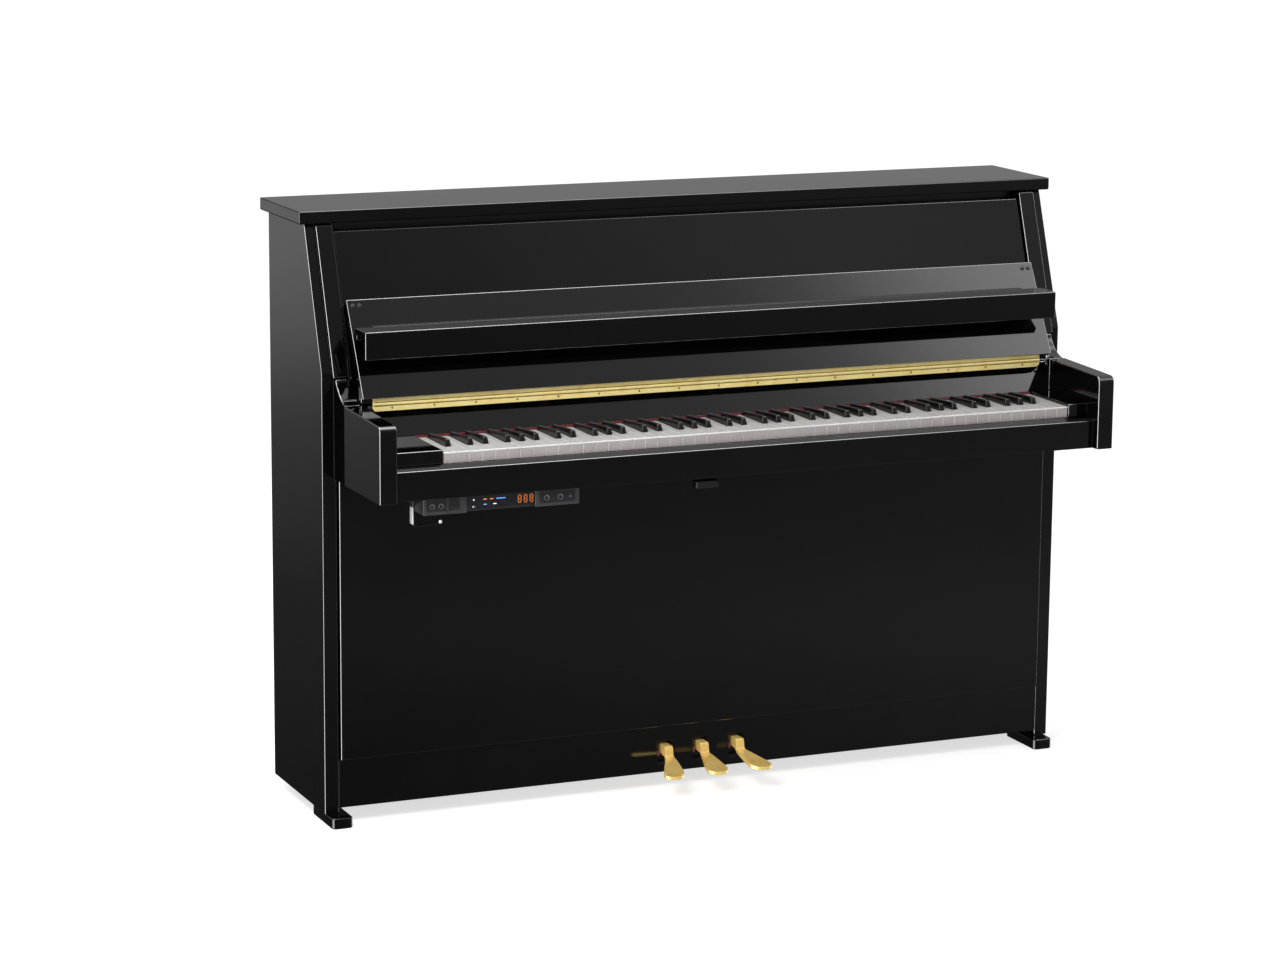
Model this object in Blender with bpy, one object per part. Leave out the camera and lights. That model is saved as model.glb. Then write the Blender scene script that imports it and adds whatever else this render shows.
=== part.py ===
"""Upright piano: polished cabinet, folding fallboard with a music shelf, 88 keys, action and practice unit.

Metres, +Z up. The keyboard faces -Y, the bass end is at -X and the floor is at Z = 0.
"""

import math

import bmesh
import bpy
import numpy as np
from mathutils import Matrix, Vector

GAP = 0.0004
EDGE = 0.0015

# Cabinet
LID_HALF = 0.7465
TOP_Z = 1.090
LID_Z = 1.0675
LID_FRONT = 0.048
LID_REAR = 0.270
SIDE_OUT = 0.733
SIDE_IN = 0.707
SIDE_FRONT = -0.026
SIDE_REAR = 0.262
SIDE_BASE = 0.020
SIDE_TOP = 1.067
KINK_Z = 0.8156
LEAN = 0.3524
STILE_OUT = 0.7145
STILE_IN = 0.684
STILE_Z = (0.8082, 1.0641)
ARM_OUT = 0.7132
ARM_IN = 0.6816
ARM_FRONT = -0.270
ARM_BASE = 0.627
SEAM_Y = -0.087
BED_HALF = 0.6812
BED_Z = (0.6273, 0.6520)
SLIP_FRONT = -0.2526

# Keyboard
PITCH = 0.02353
KEYS_LEFT = -0.5826
WHITE_FRONT = -0.2283
WHITE_REAR = -0.0840
WHITE_Z = (0.683, 0.703)
BLACK_FRONT = -0.1803
BLACK_REAR = -0.0895
BLACK_TOP = 0.715
BLACK_HALF = 0.0050
STICK_HALF = 0.0056
KEY_AXIS = (-0.010, 0.674)
MIDDLE = 23

# Fallboard and music shelf
FALL_AXIS = (-0.0845, 0.7665)
FALL_HALF = 0.6803
SHELF_AXIS = (-0.0478, 0.8965)
SHELF_HALF = 0.6796
BARREL = 0.0026

# Lid hinge, pedals and action
LID_AXIS = (0.2652, 1.0640)
PEDAL_X = 0.072
PEDAL_AXIS = (0.040, 0.075)
WIPPEN_AXIS = (0.100, 0.728)
HAMMER_AXIS = (0.088, 0.780)
DAMPER_AXIS = (0.114, 0.800)

MATERIALS = {
    "ebony": ((0.006, 0.006, 0.007), 0.08, 0.0),
    "brass": ((0.72, 0.53, 0.24), 0.25, 1.0),
    "steel": ((0.60, 0.60, 0.62), 0.30, 1.0),
    "iron": ((0.50, 0.40, 0.20), 0.45, 0.6),
    "white_key": ((0.83, 0.82, 0.79), 0.25, 0.0),
    "black_key": ((0.010, 0.010, 0.011), 0.35, 0.0),
    "felt_red": ((0.35, 0.02, 0.03), 0.95, 0.0),
    "felt_white": ((0.75, 0.72, 0.66), 0.95, 0.0),
    "spruce": ((0.62, 0.45, 0.26), 0.50, 0.0),
    "maple": ((0.58, 0.42, 0.26), 0.50, 0.0),
    "plastic": ((0.020, 0.020, 0.022), 0.40, 0.0),
}


def clear_scene():
    for obj in list(bpy.data.objects):
        bpy.data.objects.remove(obj, do_unlink=True)


def material(name):
    """One Principled material per entry of MATERIALS."""
    if name in bpy.data.materials:
        return bpy.data.materials[name]
    colour, rough, metal = MATERIALS[name]
    made = bpy.data.materials.new(name)
    made.use_nodes = True
    shader = made.node_tree.nodes["Principled BSDF"]
    shader.inputs["Base Color"].default_value = (*colour, 1.0)
    shader.inputs["Roughness"].default_value = rough
    shader.inputs["Metallic"].default_value = metal
    return made


def add(name, bm, look, origin=(0.0, 0.0, 0.0)):
    """Makes a node from a bmesh given in world space, with its origin moved to the given point."""
    bmesh.ops.recalc_face_normals(bm, faces=bm.faces)
    bmesh.ops.translate(bm, verts=bm.verts, vec=-Vector(origin))
    mesh = bpy.data.meshes.new(name)
    bm.to_mesh(mesh)
    bm.free()
    mesh.materials.append(material(look))
    obj = bpy.data.objects.new(name, mesh)
    obj.location = origin
    bpy.context.scene.collection.objects.link(obj)
    return obj


def prism(outline, low, high, axis):
    """Extrudes an outline along an axis. The outline is in the two other axes, in the order x, y, z."""
    bm = bmesh.new()
    rings = []
    for end in (low, high):
        ring = []
        for u, v in outline:
            point = [u, v]
            point.insert(axis, end)
            ring.append(bm.verts.new(point))
        rings.append(ring)
    count = len(outline)
    bm.faces.new(rings[0])
    bm.faces.new(rings[1])
    for i in range(count):
        j = (i + 1) % count
        bm.faces.new((rings[0][i], rings[0][j], rings[1][j], rings[1][i]))
    bmesh.ops.recalc_face_normals(bm, faces=bm.faces)
    return bm


def rounded(bm, width=EDGE, segments=1):
    bmesh.ops.bevel(
        bm,
        geom=bm.edges[:],
        offset=width,
        segments=segments,
        profile=0.5,
        affect="EDGES",
        clamp_overlap=True,
    )
    return bm


def box(x0, x1, y0, y1, z0, z1):
    return prism([(y0, z0), (y1, z0), (y1, z1), (y0, z1)], x0, x1, 0)


def blocks(solid, holes=()):
    """One closed body from boxes (x0, x1, y0, y1, z0, z1), less the hole boxes."""
    every = [*solid, *holes]
    grid = [np.unique(np.round([b[k] for b in every for k in (2 * a, 2 * a + 1)], 6)) for a in range(3)]
    filled = np.zeros([len(g) + 1 for g in grid], bool)
    for mark, group in ((True, solid), (False, holes)):
        for b in group:
            span = []
            for a in range(3):
                ends = np.searchsorted(grid[a], np.round([b[2 * a], b[2 * a + 1]], 6))
                span.append(slice(ends[0] + 1, ends[1] + 1))
            filled[tuple(span)] = mark
    bm = bmesh.new()
    corners = {}

    def corner(i, j, k):
        if (i, j, k) not in corners:
            corners[i, j, k] = bm.verts.new((grid[0][i], grid[1][j], grid[2][k]))
        return corners[i, j, k]

    for a in range(3):
        b, c = (a + 1) % 3, (a + 2) % 3
        change = np.argwhere(np.diff(filled.astype(int), axis=a) != 0)
        for cell in change:
            quad = []
            for db, dc in ((0, 0), (1, 0), (1, 1), (0, 1)):
                at = list(cell)
                at[b] += db - 1
                at[c] += dc - 1
                quad.append(corner(*at))
            bm.faces.new(quad)
    bmesh.ops.recalc_face_normals(bm, faces=bm.faces)
    bmesh.ops.dissolve_limit(bm, angle_limit=0.001, verts=bm.verts[:], edges=bm.edges[:])
    return bm


def cylinder(radius, y, z, x0, x1, sides=16):
    """A round bar along X."""
    turn = [2 * math.pi * (i + 0.5) / sides for i in range(sides)]
    return prism([(y + radius * math.cos(t), z + radius * math.sin(t)) for t in turn], x0, x1, 0)


def boolean(obj, bm, operation="UNION"):
    """Joins or cuts with a helper solid that is hidden from renders."""
    helper = add(f"helper_{len(bpy.data.objects)}", bm, "steel")
    helper.hide_render = True
    helper.display_type = "WIRE"
    modifier = obj.modifiers.new(operation.title(), "BOOLEAN")
    modifier.operation = operation
    modifier.solver = "EXACT"
    modifier.object = helper
    helper.parent = obj
    helper.matrix_parent_inverse = Matrix.Translation(-obj.location)


def lean_y(z):
    """The Y of the sloping front edge of the side panels at a height."""
    return SIDE_FRONT + (z - KINK_Z) * LEAN


def mirrored(outline_x):
    """A pair of X limits for the left and the right side from the right side's pair."""
    return {"left": (-outline_x[1], -outline_x[0]), "right": outline_x}


def at(axis, x=0.0):
    return (x, axis[0], axis[1])


def make_cabinet():
    side = [
        (SIDE_FRONT, SIDE_BASE),
        (SIDE_FRONT, KINK_Z),
        (lean_y(SIDE_TOP), SIDE_TOP),
        (SIDE_REAR, SIDE_TOP),
        (SIDE_REAR, SIDE_BASE),
    ]
    for hand, (x0, x1) in mirrored((SIDE_IN, SIDE_OUT)).items():
        add(f"side_{hand}", rounded(prism(side, x0, x1, 0)), "ebony")
    for hand, sign in (("left", -1), ("right", 1)):
        make_stile(hand, sign)
        make_arm(hand, sign)
    for hand, (x0, x1) in mirrored((0.690, 0.7295)).items():
        add(f"toe_block_{hand}", rounded(box(x0, x1, -0.057, 0.057, 0.0, 0.0196), 0.003, 2), "ebony")
    low, high = 0.768, 1.052
    panel = [(lean_y(low) - 0.001, low), (lean_y(high) - 0.001, high)]
    panel += [(lean_y(high) + 0.017, high), (lean_y(low) + 0.017, low)]
    add("upper_front_panel", rounded(prism(panel, -0.681, 0.681, 0)), "ebony")
    add("lower_front_panel", rounded(box(-0.7045, 0.7045, -0.034, -0.019, 0.1185, 0.6262), 0.003, 2), "ebony")
    rail = [(-0.7065, 0.7065, SIDE_FRONT, -0.006, 0.030, 0.118)]
    openings = [(s * PEDAL_X - 0.0165, s * PEDAL_X + 0.0165, -0.03, 0.0, 0.044, 0.089) for s in (-1, 0, 1)]
    add("pedal_rail", blocks(rail, openings), "ebony")
    board = [(-0.7065, 0.7065, -0.0055, 0.1995, 0.036, 0.056)]
    for s in (-1, 0, 1):
        for edge in (-0.0165, 0.0125):
            x = s * PEDAL_X + edge
            board.append((x, x + 0.004, 0.028, 0.052, 0.050, 0.088))
    add("bottom_board", blocks(board), "maple")
    lid = box(-LID_HALF, LID_HALF, LID_FRONT, LID_REAR, LID_Z, TOP_Z)
    add("top_lid", rounded(lid, 0.002, 2), "ebony", at(LID_AXIS))


def make_stile(hand, sign):
    bm = bmesh.new()
    rings = []
    for z in STILE_Z:
        front = lean_y(z)
        outline = [
            (STILE_IN, front - 0.009),
            (STILE_OUT, front - 0.009),
            (STILE_OUT, front - GAP),
            (SIDE_IN - GAP, front - GAP),
            (SIDE_IN - GAP, front + 0.026),
            (STILE_IN, front + 0.026),
        ]
        rings.append([bm.verts.new((sign * x, y, z)) for x, y in outline])
    bm.faces.new(rings[0])
    bm.faces.new(rings[1])
    for i in range(6):
        j = (i + 1) % 6
        bm.faces.new((rings[0][i], rings[0][j], rings[1][j], rings[1][i]))
    bmesh.ops.recalc_face_normals(bm, faces=bm.faces)
    add(f"stile_{hand}", rounded(bm, 0.001), "ebony")


def make_arm(hand, sign):
    base = ARM_BASE
    nose = [(ARM_FRONT, base), (ARM_FRONT, 0.7500)]
    for step in range(1, 5):
        turn = math.radians(22.5 * step)
        nose.append((ARM_FRONT + 0.012 - 0.012 * math.cos(turn), 0.7503 + 0.012 * math.sin(turn)))
    arm = nose + [(SEAM_Y, 0.7674), (SEAM_Y, base)]
    rise = [
        (-0.0782, 0.7690),
        (-0.0680, 0.7728),
        (-0.0575, 0.7795),
        (-0.0480, 0.7877),
        (-0.0412, 0.7965),
        (-0.0376, 0.8055),
    ]
    rear = SIDE_FRONT - GAP
    cheek = [(SEAM_Y - 0.002, base), (SEAM_Y - 0.002, 0.76735), *rise, (rear, 0.8055), (rear, base)]
    x0, x1 = mirrored((ARM_IN, ARM_OUT))[hand]
    made = add(f"arm_{hand}", rounded(prism(arm, x0, x1, 0)), "ebony")
    x0, x1 = mirrored((ARM_IN, ARM_OUT - 0.0022))[hand]
    boolean(made, prism(cheek, x0 + 0.0001 * sign, x1, 0))


def make_key_surround():
    add("keybed", blocks([(-BED_HALF, BED_HALF, -0.2345, 0.125, *BED_Z)]), "maple")
    slip = [
        (SLIP_FRONT, 0.6273),
        (SLIP_FRONT, 0.678),
        (-0.239, 0.684),
        (-0.2350, 0.684),
        (-0.2350, 0.6273),
    ]
    add("key_slip", rounded(prism(slip, -BED_HALF, BED_HALF, 0), 0.0008), "ebony")
    low = BED_Z[1] + GAP
    add("key_block_left", rounded(box(-BED_HALF, -0.5840, -0.2300, -0.0890, low, 0.7075)), "ebony")
    add("key_block_right", rounded(box(0.6420, BED_HALF, -0.2300, -0.0890, low, 0.7075)), "ebony")
    name = [
        (-0.0870, 0.7075),
        (-0.0626, 0.7535),
        (-0.0835, 0.7535),
        (-0.0835, 0.7635),
        (-0.0455, 0.7635),
        (-0.0455, 0.7535),
        (-0.0683, 0.7075),
    ]
    board = add("nameboard", rounded(prism(name, -0.6803, 0.6803, 0), 0.0006), "ebony")
    for side in (-1, 1):
        x0, x1 = sorted((side * 0.6640, side * 0.6900))
        boolean(board, box(x0, x1, -0.0900, -0.0626, 0.7500, 0.7700), "DIFFERENCE")
    add("nameboard_felt", box(-0.583, 0.641, -0.0878, -0.0700, 0.7040, 0.7071), "felt_red")
    frame = [
        (-0.583, 0.641, -0.215, -0.185, 0.6524, 0.6600),
        (-0.583, 0.641, -0.020, 0.000, 0.6524, 0.6725),
        (-0.583, 0.641, 0.070, 0.096, 0.6524, 0.6660),
    ]
    frame += [(x, x + 0.02, -0.215, 0.096, 0.6524, 0.6580) for x in (-0.583, -0.18, 0.22, 0.621)]
    add("key_frame", blocks(frame), "spruce")


def key_layout():
    """For each of the 88 keys: (is_white, white index or None, cell left, cell right)."""
    letters = "ABCDEFG"
    keys = []
    for white in range(52):
        letter = letters[white % 7]
        octave = white - (white + 5) % 7
        group = (octave, 3, 5) if letter in "CDE" else (octave + 3, 4, 7)
        start, size, cells = group
        step = size * PITCH / cells
        order = 2 * (white - start)
        left = KEYS_LEFT + start * PITCH + order * step
        keys.append((True, white, left, left + step))
        if letter not in "BE" and white < 51:
            keys.append((False, None, left + step, left + 2 * step))
    return keys


KEYS = key_layout()


def black_limits(key):
    centre = (key[2] + key[3]) / 2
    return centre - BLACK_HALF, centre + BLACK_HALF


def white_boxes(number):
    """The head and the narrower tail of a white key."""
    key = KEYS[number]
    x0 = KEYS_LEFT + key[1] * PITCH + 0.0005
    x1 = x0 + PITCH - 0.0010
    tail0, tail1 = x0, x1
    if number > 0 and not KEYS[number - 1][0]:
        tail0 = black_limits(KEYS[number - 1])[1] + 0.0013
    if number < 87 and not KEYS[number + 1][0]:
        tail1 = black_limits(KEYS[number + 1])[0] - 0.0013
    notch = BLACK_FRONT - 0.0015
    head = (x0, x1, WHITE_FRONT, notch, *WHITE_Z)
    tail = (tail0, tail1, notch - 0.001, WHITE_REAR, *WHITE_Z)
    return head, tail


def black_boxes(number):
    x0, x1 = black_limits(KEYS[number])
    return [
        (x0, x1, BLACK_FRONT, BLACK_REAR, 0.668, BLACK_TOP),
        (x0, x1, BLACK_REAR - 0.001, -0.0505, 0.668, 0.6824),
    ]


def note_x(number):
    return (KEYS[number][2] + KEYS[number][3]) / 2


def make_combs():
    first = next(i for i, key in enumerate(KEYS) if key[1] == MIDDLE)
    spans = {"bass": range(0, first), "treble": range(first + 12, 88)}
    for part, span in spans.items():
        whites = [n for n in span if KEYS[n][0]]
        blacks = [n for n in span if not KEYS[n][0]]
        solid = [b for n in whites for b in white_boxes(n)]
        ends = white_boxes(whites[0])[0][0], white_boxes(whites[-1])[0][1]
        solid.append((*ends, WHITE_REAR - 0.001, -0.0660, *WHITE_Z))
        add(f"white_keys_{part}", blocks(solid), "white_key")
        solid = [b for n in blacks for b in black_boxes(n)]
        ends = black_limits(KEYS[blacks[0]])[0], black_limits(KEYS[blacks[-1]])[1]
        solid.append((*ends, -0.0600, -0.0500, 0.668, 0.6824))
        add(f"black_keys_{part}", blocks(solid), "black_key")
    names = ["c", "c_sharp", "d", "d_sharp", "e", "f", "f_sharp", "g", "g_sharp", "a", "a_sharp", "b"]
    for offset, name in enumerate(names):
        make_key(f"key_{name}4", first + offset)
    return first


def make_key(name, number):
    x = note_x(number)
    stick = (x - STICK_HALF, x + STICK_HALF)
    if KEYS[number][0]:
        solid = [*white_boxes(number), (*stick, -0.2200, 0.088, 0.674, 0.700)]
        look = "white_key"
    else:
        x0, x1 = black_limits(KEYS[number])
        solid = [
            (x0, x1, BLACK_FRONT, BLACK_REAR, 0.674, BLACK_TOP),
            (x0, x1, BLACK_REAR - 0.001, 0.088, 0.674, 0.700),
        ]
        look = "black_key"
    solid.append((x - 0.003, x + 0.003, 0.067, 0.073, 0.699, 0.708))
    add(name, blocks(solid), look, at(KEY_AXIS, x))


def make_action(middle):
    rails = [
        (-0.640, 0.680, 0.0980, 0.110, 0.760, 0.790),
        (-0.640, 0.680, 0.0500, 0.060, 0.862, 0.876),
        (-0.650, -0.638, 0.0500, 0.110, 0.6524, 0.876),
        (0.669, 0.681, 0.0500, 0.110, 0.6524, 0.876),
    ]
    add("action_frame", blocks(rails), "maple")
    spans = {"bass": range(0, middle), "treble": range(middle + 1, 88)}
    for part, span in spans.items():
        ends = note_x(span[0]) - 0.005, note_x(span[-1]) + 0.005
        solid = [(*ends, 0.070, 0.094, 0.766, 0.790)]
        for n in span:
            solid += hammer_boxes(note_x(n))[1:]
        add(f"hammers_{part}", blocks(solid), "felt_white")
    x = note_x(middle)
    add("hammer_c4", blocks(hammer_boxes(x)), "felt_white", at(HAMMER_AXIS, x))
    wippen = [
        (x - 0.0045, x + 0.0045, 0.050, 0.104, 0.722, 0.734),
        (x - 0.0045, x + 0.0045, 0.062, 0.078, 0.7085, 0.723),
        (x - 0.0030, x + 0.0030, 0.070, 0.076, 0.733, 0.764),
    ]
    add("wippen_c4", blocks(wippen), "maple", at(WIPPEN_AXIS, x))
    solid = [(note_x(0) - 0.004, note_x(65) + 0.004, 0.1115, 0.1165, 0.7915, 0.7948)]
    for n in range(66):
        if n != middle:
            solid += damper_boxes(note_x(n), 0.794)
    add("dampers", blocks(solid), "felt_white")
    add("damper_c4", blocks(damper_boxes(x, 0.7956)), "felt_white", at(DAMPER_AXIS, x))


def hammer_boxes(x):
    return [
        (x - 0.0045, x + 0.0045, 0.0700, 0.0920, 0.770, 0.790),
        (x - 0.0025, x + 0.0025, 0.0735, 0.0785, 0.789, 0.900),
        (x - 0.0045, x + 0.0045, 0.0640, 0.0880, 0.893, 0.913),
    ]


def damper_boxes(x, low):
    return [
        (x - 0.0025, x + 0.0025, 0.1115, 0.1165, low, 0.851),
        (x - 0.0045, x + 0.0045, 0.1160, 0.1285, 0.835, 0.865),
    ]


def make_back():
    bays = [(0.345 * i - 0.3320, 0.345 * i - 0.0130, 0.130, 0.160, 0.170, 0.850) for i in range(-1, 3)]
    add("iron_plate", blocks([(-0.700, 0.700, 0.140, 0.152, 0.060, 1.040)], bays), "iron")
    add("pin_block", box(-0.700, 0.700, 0.1524, 0.190, 0.9005, 1.040), "maple")
    panel = (-0.700, 0.700, 0.165, 0.174, 0.060, 0.897)
    sound = add("soundboard", box(*panel), "spruce")
    half = 0.011
    for middle in range(-5, 6):
        boolean(sound, rib(middle * 0.20, half))
    frame = [
        (-0.7065, 0.7065, 0.1935, 0.262, 0.925, 1.065),
        (-0.7065, 0.7065, 0.2000, 0.262, 0.058, 0.135),
    ]
    for i in range(-2, 3):
        x = i * 0.3355
        frame.append((x - 0.0355, x + 0.0355, 0.2000, 0.262, 0.058, 0.930))
    frame += [(s * 0.674 - 0.032, s * 0.674 + 0.032, 0.205, 0.262, 0.0, 0.060) for s in (-1, 1)]
    add("back_frame", blocks(frame), "spruce")


def rib(shift, half):
    """A rib across the soundboard at 45 degrees, clipped to the board."""
    low, high, side = 0.075, 0.885, 0.690
    centre = (low + high) / 2
    ends = []
    for z in (low, high):
        x = shift + (z - centre)
        if abs(x) > side:
            x = math.copysign(side, x)
            z = centre + x - shift
        ends.append((x, z))
    (x0, z0), (x1, z1) = ends
    step = half * math.sqrt(0.5)
    outline = [(x0 + step, z0 - step), (x1 + step, z1 - step), (x1 - step, z1 + step), (x0 - step, z0 + step)]
    return prism(outline, 0.173, 0.192, 1)


def make_hinges():
    y, z = FALL_AXIS
    low = add("fallboard_hinge_lower_leaf", box(-0.660, 0.660, -0.0851, -0.0839, 0.7540, z), "brass")
    boolean(low, cylinder(BARREL, y, z, -0.6599, 0.6599))
    upper = box(-0.660, 0.660, -0.0851, -0.0839, z + 0.0031, 0.7772)
    add("fallboard_hinge_upper_leaf", upper, "brass", at(FALL_AXIS))
    y, z = LID_AXIS
    fixed = add("lid_hinge_fixed_leaf", box(-0.700, 0.700, 0.2624, 0.2636, 1.040, z), "brass")
    boolean(fixed, cylinder(0.0022, y, z, -0.6999, 0.6999))
    add("lid_hinge_moving_leaf", box(-0.700, 0.700, 0.245, 0.264, 1.0662, 1.0672), "brass", at(LID_AXIS))


def make_fallboard():
    panel = [
        (-0.0940, 0.7780),
        (-0.0080, 0.9400),
        (0.0053, 0.9330),
        (-0.0706, 0.7900),
        (-0.0705, 0.7692),
        (-0.0835, 0.7692),
        (-0.0835, 0.7780),
    ]
    board = add("fallboard", rounded(prism(panel, -FALL_HALF, FALL_HALF, 0), 0.0008), "ebony", at(FALL_AXIS))
    batten = [(-0.0467, 0.8845), (-0.0467, 0.8962), (-0.0290, 0.8962), (-0.0350, 0.8845)]
    boolean(board, prism(batten, -0.643, 0.643, 0))
    shelf = [
        (-0.1057, 0.8477),
        (-0.1057, 0.8965),
        (-0.0482, 0.8965),
        (-0.0482, 0.8855),
        (-0.0927, 0.8855),
        (-0.0927, 0.8477),
    ]
    add("music_shelf", rounded(prism(shelf, -SHELF_HALF, SHELF_HALF, 0), 0.001), "ebony", at(SHELF_AXIS))


def make_pedals():
    # Along the lever: y, top z, bottom z, half width, share of the sideways sweep.
    stations = (
        (0.0500, 0.0830, 0.0670, 0.0090, 0.0),
        (-0.0360, 0.0830, 0.0620, 0.0110, 0.0),
        (-0.0420, 0.0822, 0.0585, 0.0110, 0.0),
        (-0.0450, 0.0645, 0.0575, 0.0110, 0.02),
        (-0.0600, 0.0605, 0.0540, 0.0125, 0.20),
        (-0.0830, 0.0540, 0.0475, 0.0170, 0.58),
        (-0.1010, 0.0495, 0.0430, 0.0200, 0.88),
        (-0.1110, 0.0473, 0.0410, 0.0185, 1.00),
        (-0.1165, 0.0463, 0.0402, 0.0125, 1.00),
        (-0.1185, 0.0455, 0.0406, 0.0060, 1.00),
    )
    for hand, side in (("left", -1), ("middle", 0), ("right", 1)):
        bm = bmesh.new()
        rings = []
        for y, top, bottom, half, sweep in stations:
            x = side * (PEDAL_X + 0.017 * sweep)
            cut = min(0.0014, (top - bottom) / 3)
            outline = [
                (x - half, bottom + cut),
                (x - half + cut, bottom),
                (x + half - cut, bottom),
                (x + half, bottom + cut),
                (x + half, top - cut),
                (x + half - cut, top),
                (x - half + cut, top),
                (x - half, top - cut),
            ]
            rings.append([bm.verts.new((u, y, v)) for u, v in outline])
        for a, b in zip(rings, rings[1:]):
            for i in range(8):
                j = (i + 1) % 8
                bm.faces.new((a[i], a[j], b[j], b[i]))
        bm.faces.new(rings[0])
        bm.faces.new(rings[-1])
        add(f"pedal_{hand}", bm, "brass", at(PEDAL_AXIS, side * PEDAL_X))


def make_practice_unit():
    top = BED_Z[0] - GAP
    unit = [
        (-0.6220, -0.5410, -0.235, -0.165, 0.5955, top),
        (-0.5420, -0.4150, -0.231, -0.165, 0.5970, top),
        (-0.4160, -0.3330, -0.235, -0.165, 0.5960, top),
    ]
    pocket = (-0.5315, -0.5245, -0.240, -0.2255, 0.6010, 0.6080)
    add("control_box", blocks(unit, [pocket]), "plastic")
    turn = [2 * math.pi * i / 12 for i in range(12)]
    ring = [(-0.528 + 0.003 * math.cos(t), 0.6045 + 0.003 * math.sin(t)) for t in turn]
    add("power_button", prism(ring, -0.2328, -0.2278, 1), "steel", (-0.528, -0.2278, 0.6045))
    hook = [
        (-0.6410, top),
        (-0.6395, 0.5790),
        (-0.6375, 0.5767),
        (-0.6345, 0.5758),
        (-0.5945, 0.5778),
        (-0.5905, 0.5800),
        (-0.5895, 0.5855),
        (-0.5920, 0.5860),
        (-0.5932, 0.5818),
        (-0.5952, 0.5805),
        (-0.6340, 0.5785),
        (-0.6362, 0.5797),
        (-0.6370, 0.6130),
        (-0.6240, 0.6240),
        (-0.6240, top),
    ]
    add("headphone_hook", prism(hook, -0.232, -0.220, 1), "steel")
    latch = box(-0.0225, 0.0225, -0.0440, -0.0343, 0.5620, 0.5760)
    add("panel_latch", rounded(latch, 0.002, 2), "plastic")


clear_scene()
make_cabinet()
make_key_surround()
middle_c = make_combs()
make_action(middle_c)
make_back()
make_hinges()
make_fallboard()
make_pedals()
make_practice_unit()
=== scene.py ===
"""Looks of the upright piano: finely bevelled boards, 88 keys, brass, felt, wood and studio light."""

import math

import bmesh
import bpy
import numpy as np
from mathutils import Matrix, Vector


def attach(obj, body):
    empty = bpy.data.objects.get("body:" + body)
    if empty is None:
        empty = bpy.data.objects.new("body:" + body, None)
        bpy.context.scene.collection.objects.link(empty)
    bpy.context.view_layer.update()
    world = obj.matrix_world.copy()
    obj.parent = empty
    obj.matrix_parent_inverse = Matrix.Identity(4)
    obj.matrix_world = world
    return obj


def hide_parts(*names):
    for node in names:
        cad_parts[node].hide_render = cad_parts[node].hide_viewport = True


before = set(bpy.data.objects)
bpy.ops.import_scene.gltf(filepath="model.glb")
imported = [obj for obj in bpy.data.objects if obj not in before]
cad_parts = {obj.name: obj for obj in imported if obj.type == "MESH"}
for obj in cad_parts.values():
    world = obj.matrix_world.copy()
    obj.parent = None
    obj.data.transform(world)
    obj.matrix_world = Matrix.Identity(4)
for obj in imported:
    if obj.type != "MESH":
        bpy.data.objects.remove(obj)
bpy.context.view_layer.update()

# Sizes repeated from the CAD part
LEAN = 0.3524
PITCH = 0.02353
KEYS_LEFT = -0.5826
WHITE_FRONT, WHITE_REAR = -0.2283, -0.084
BLACK_FRONT, BLACK_REAR = -0.1803, -0.0895
BLACK_HALF = 0.005
KEYS_SPAN = (-0.583, 0.641)
MIDDLE = 23
FRAME_HALF = 0.7065
PLATE_HALF = 0.7
BED_HALF = 0.6812
FALL_HALF = 0.6803
FALL_HINGE_HALF = 0.66
BED_LOW, BED_TOP = 0.6273, 0.6524
BLOCK_TOP = 0.7075
UNIT_TOP = 0.6269
UNIT_FRONT = -0.2345
ROOM_LIGHT = 0.62
FLOOR_REACH = 60
FALL_AXIS = (-0.0845, 0.7665)
LID_AXIS = (0.2652, 1.064)
PEDAL_X = 0.072
PEDALS = (-PEDAL_X, 0, PEDAL_X)
POSTS = [i * 0.3355 for i in range(-2, 3)]
OCTAVE = "c c_sharp d d_sharp e f f_sharp g g_sharp a a_sharp b".split()


# ---- materials ----
def fill_ramp(node, stops):
    elements = node.color_ramp.elements
    while len(elements) < len(stops):
        elements.new(0.5)
    for element, (place, colour) in zip(elements, stops):
        element.position = place
        element.color = (*colour, 1)


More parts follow.
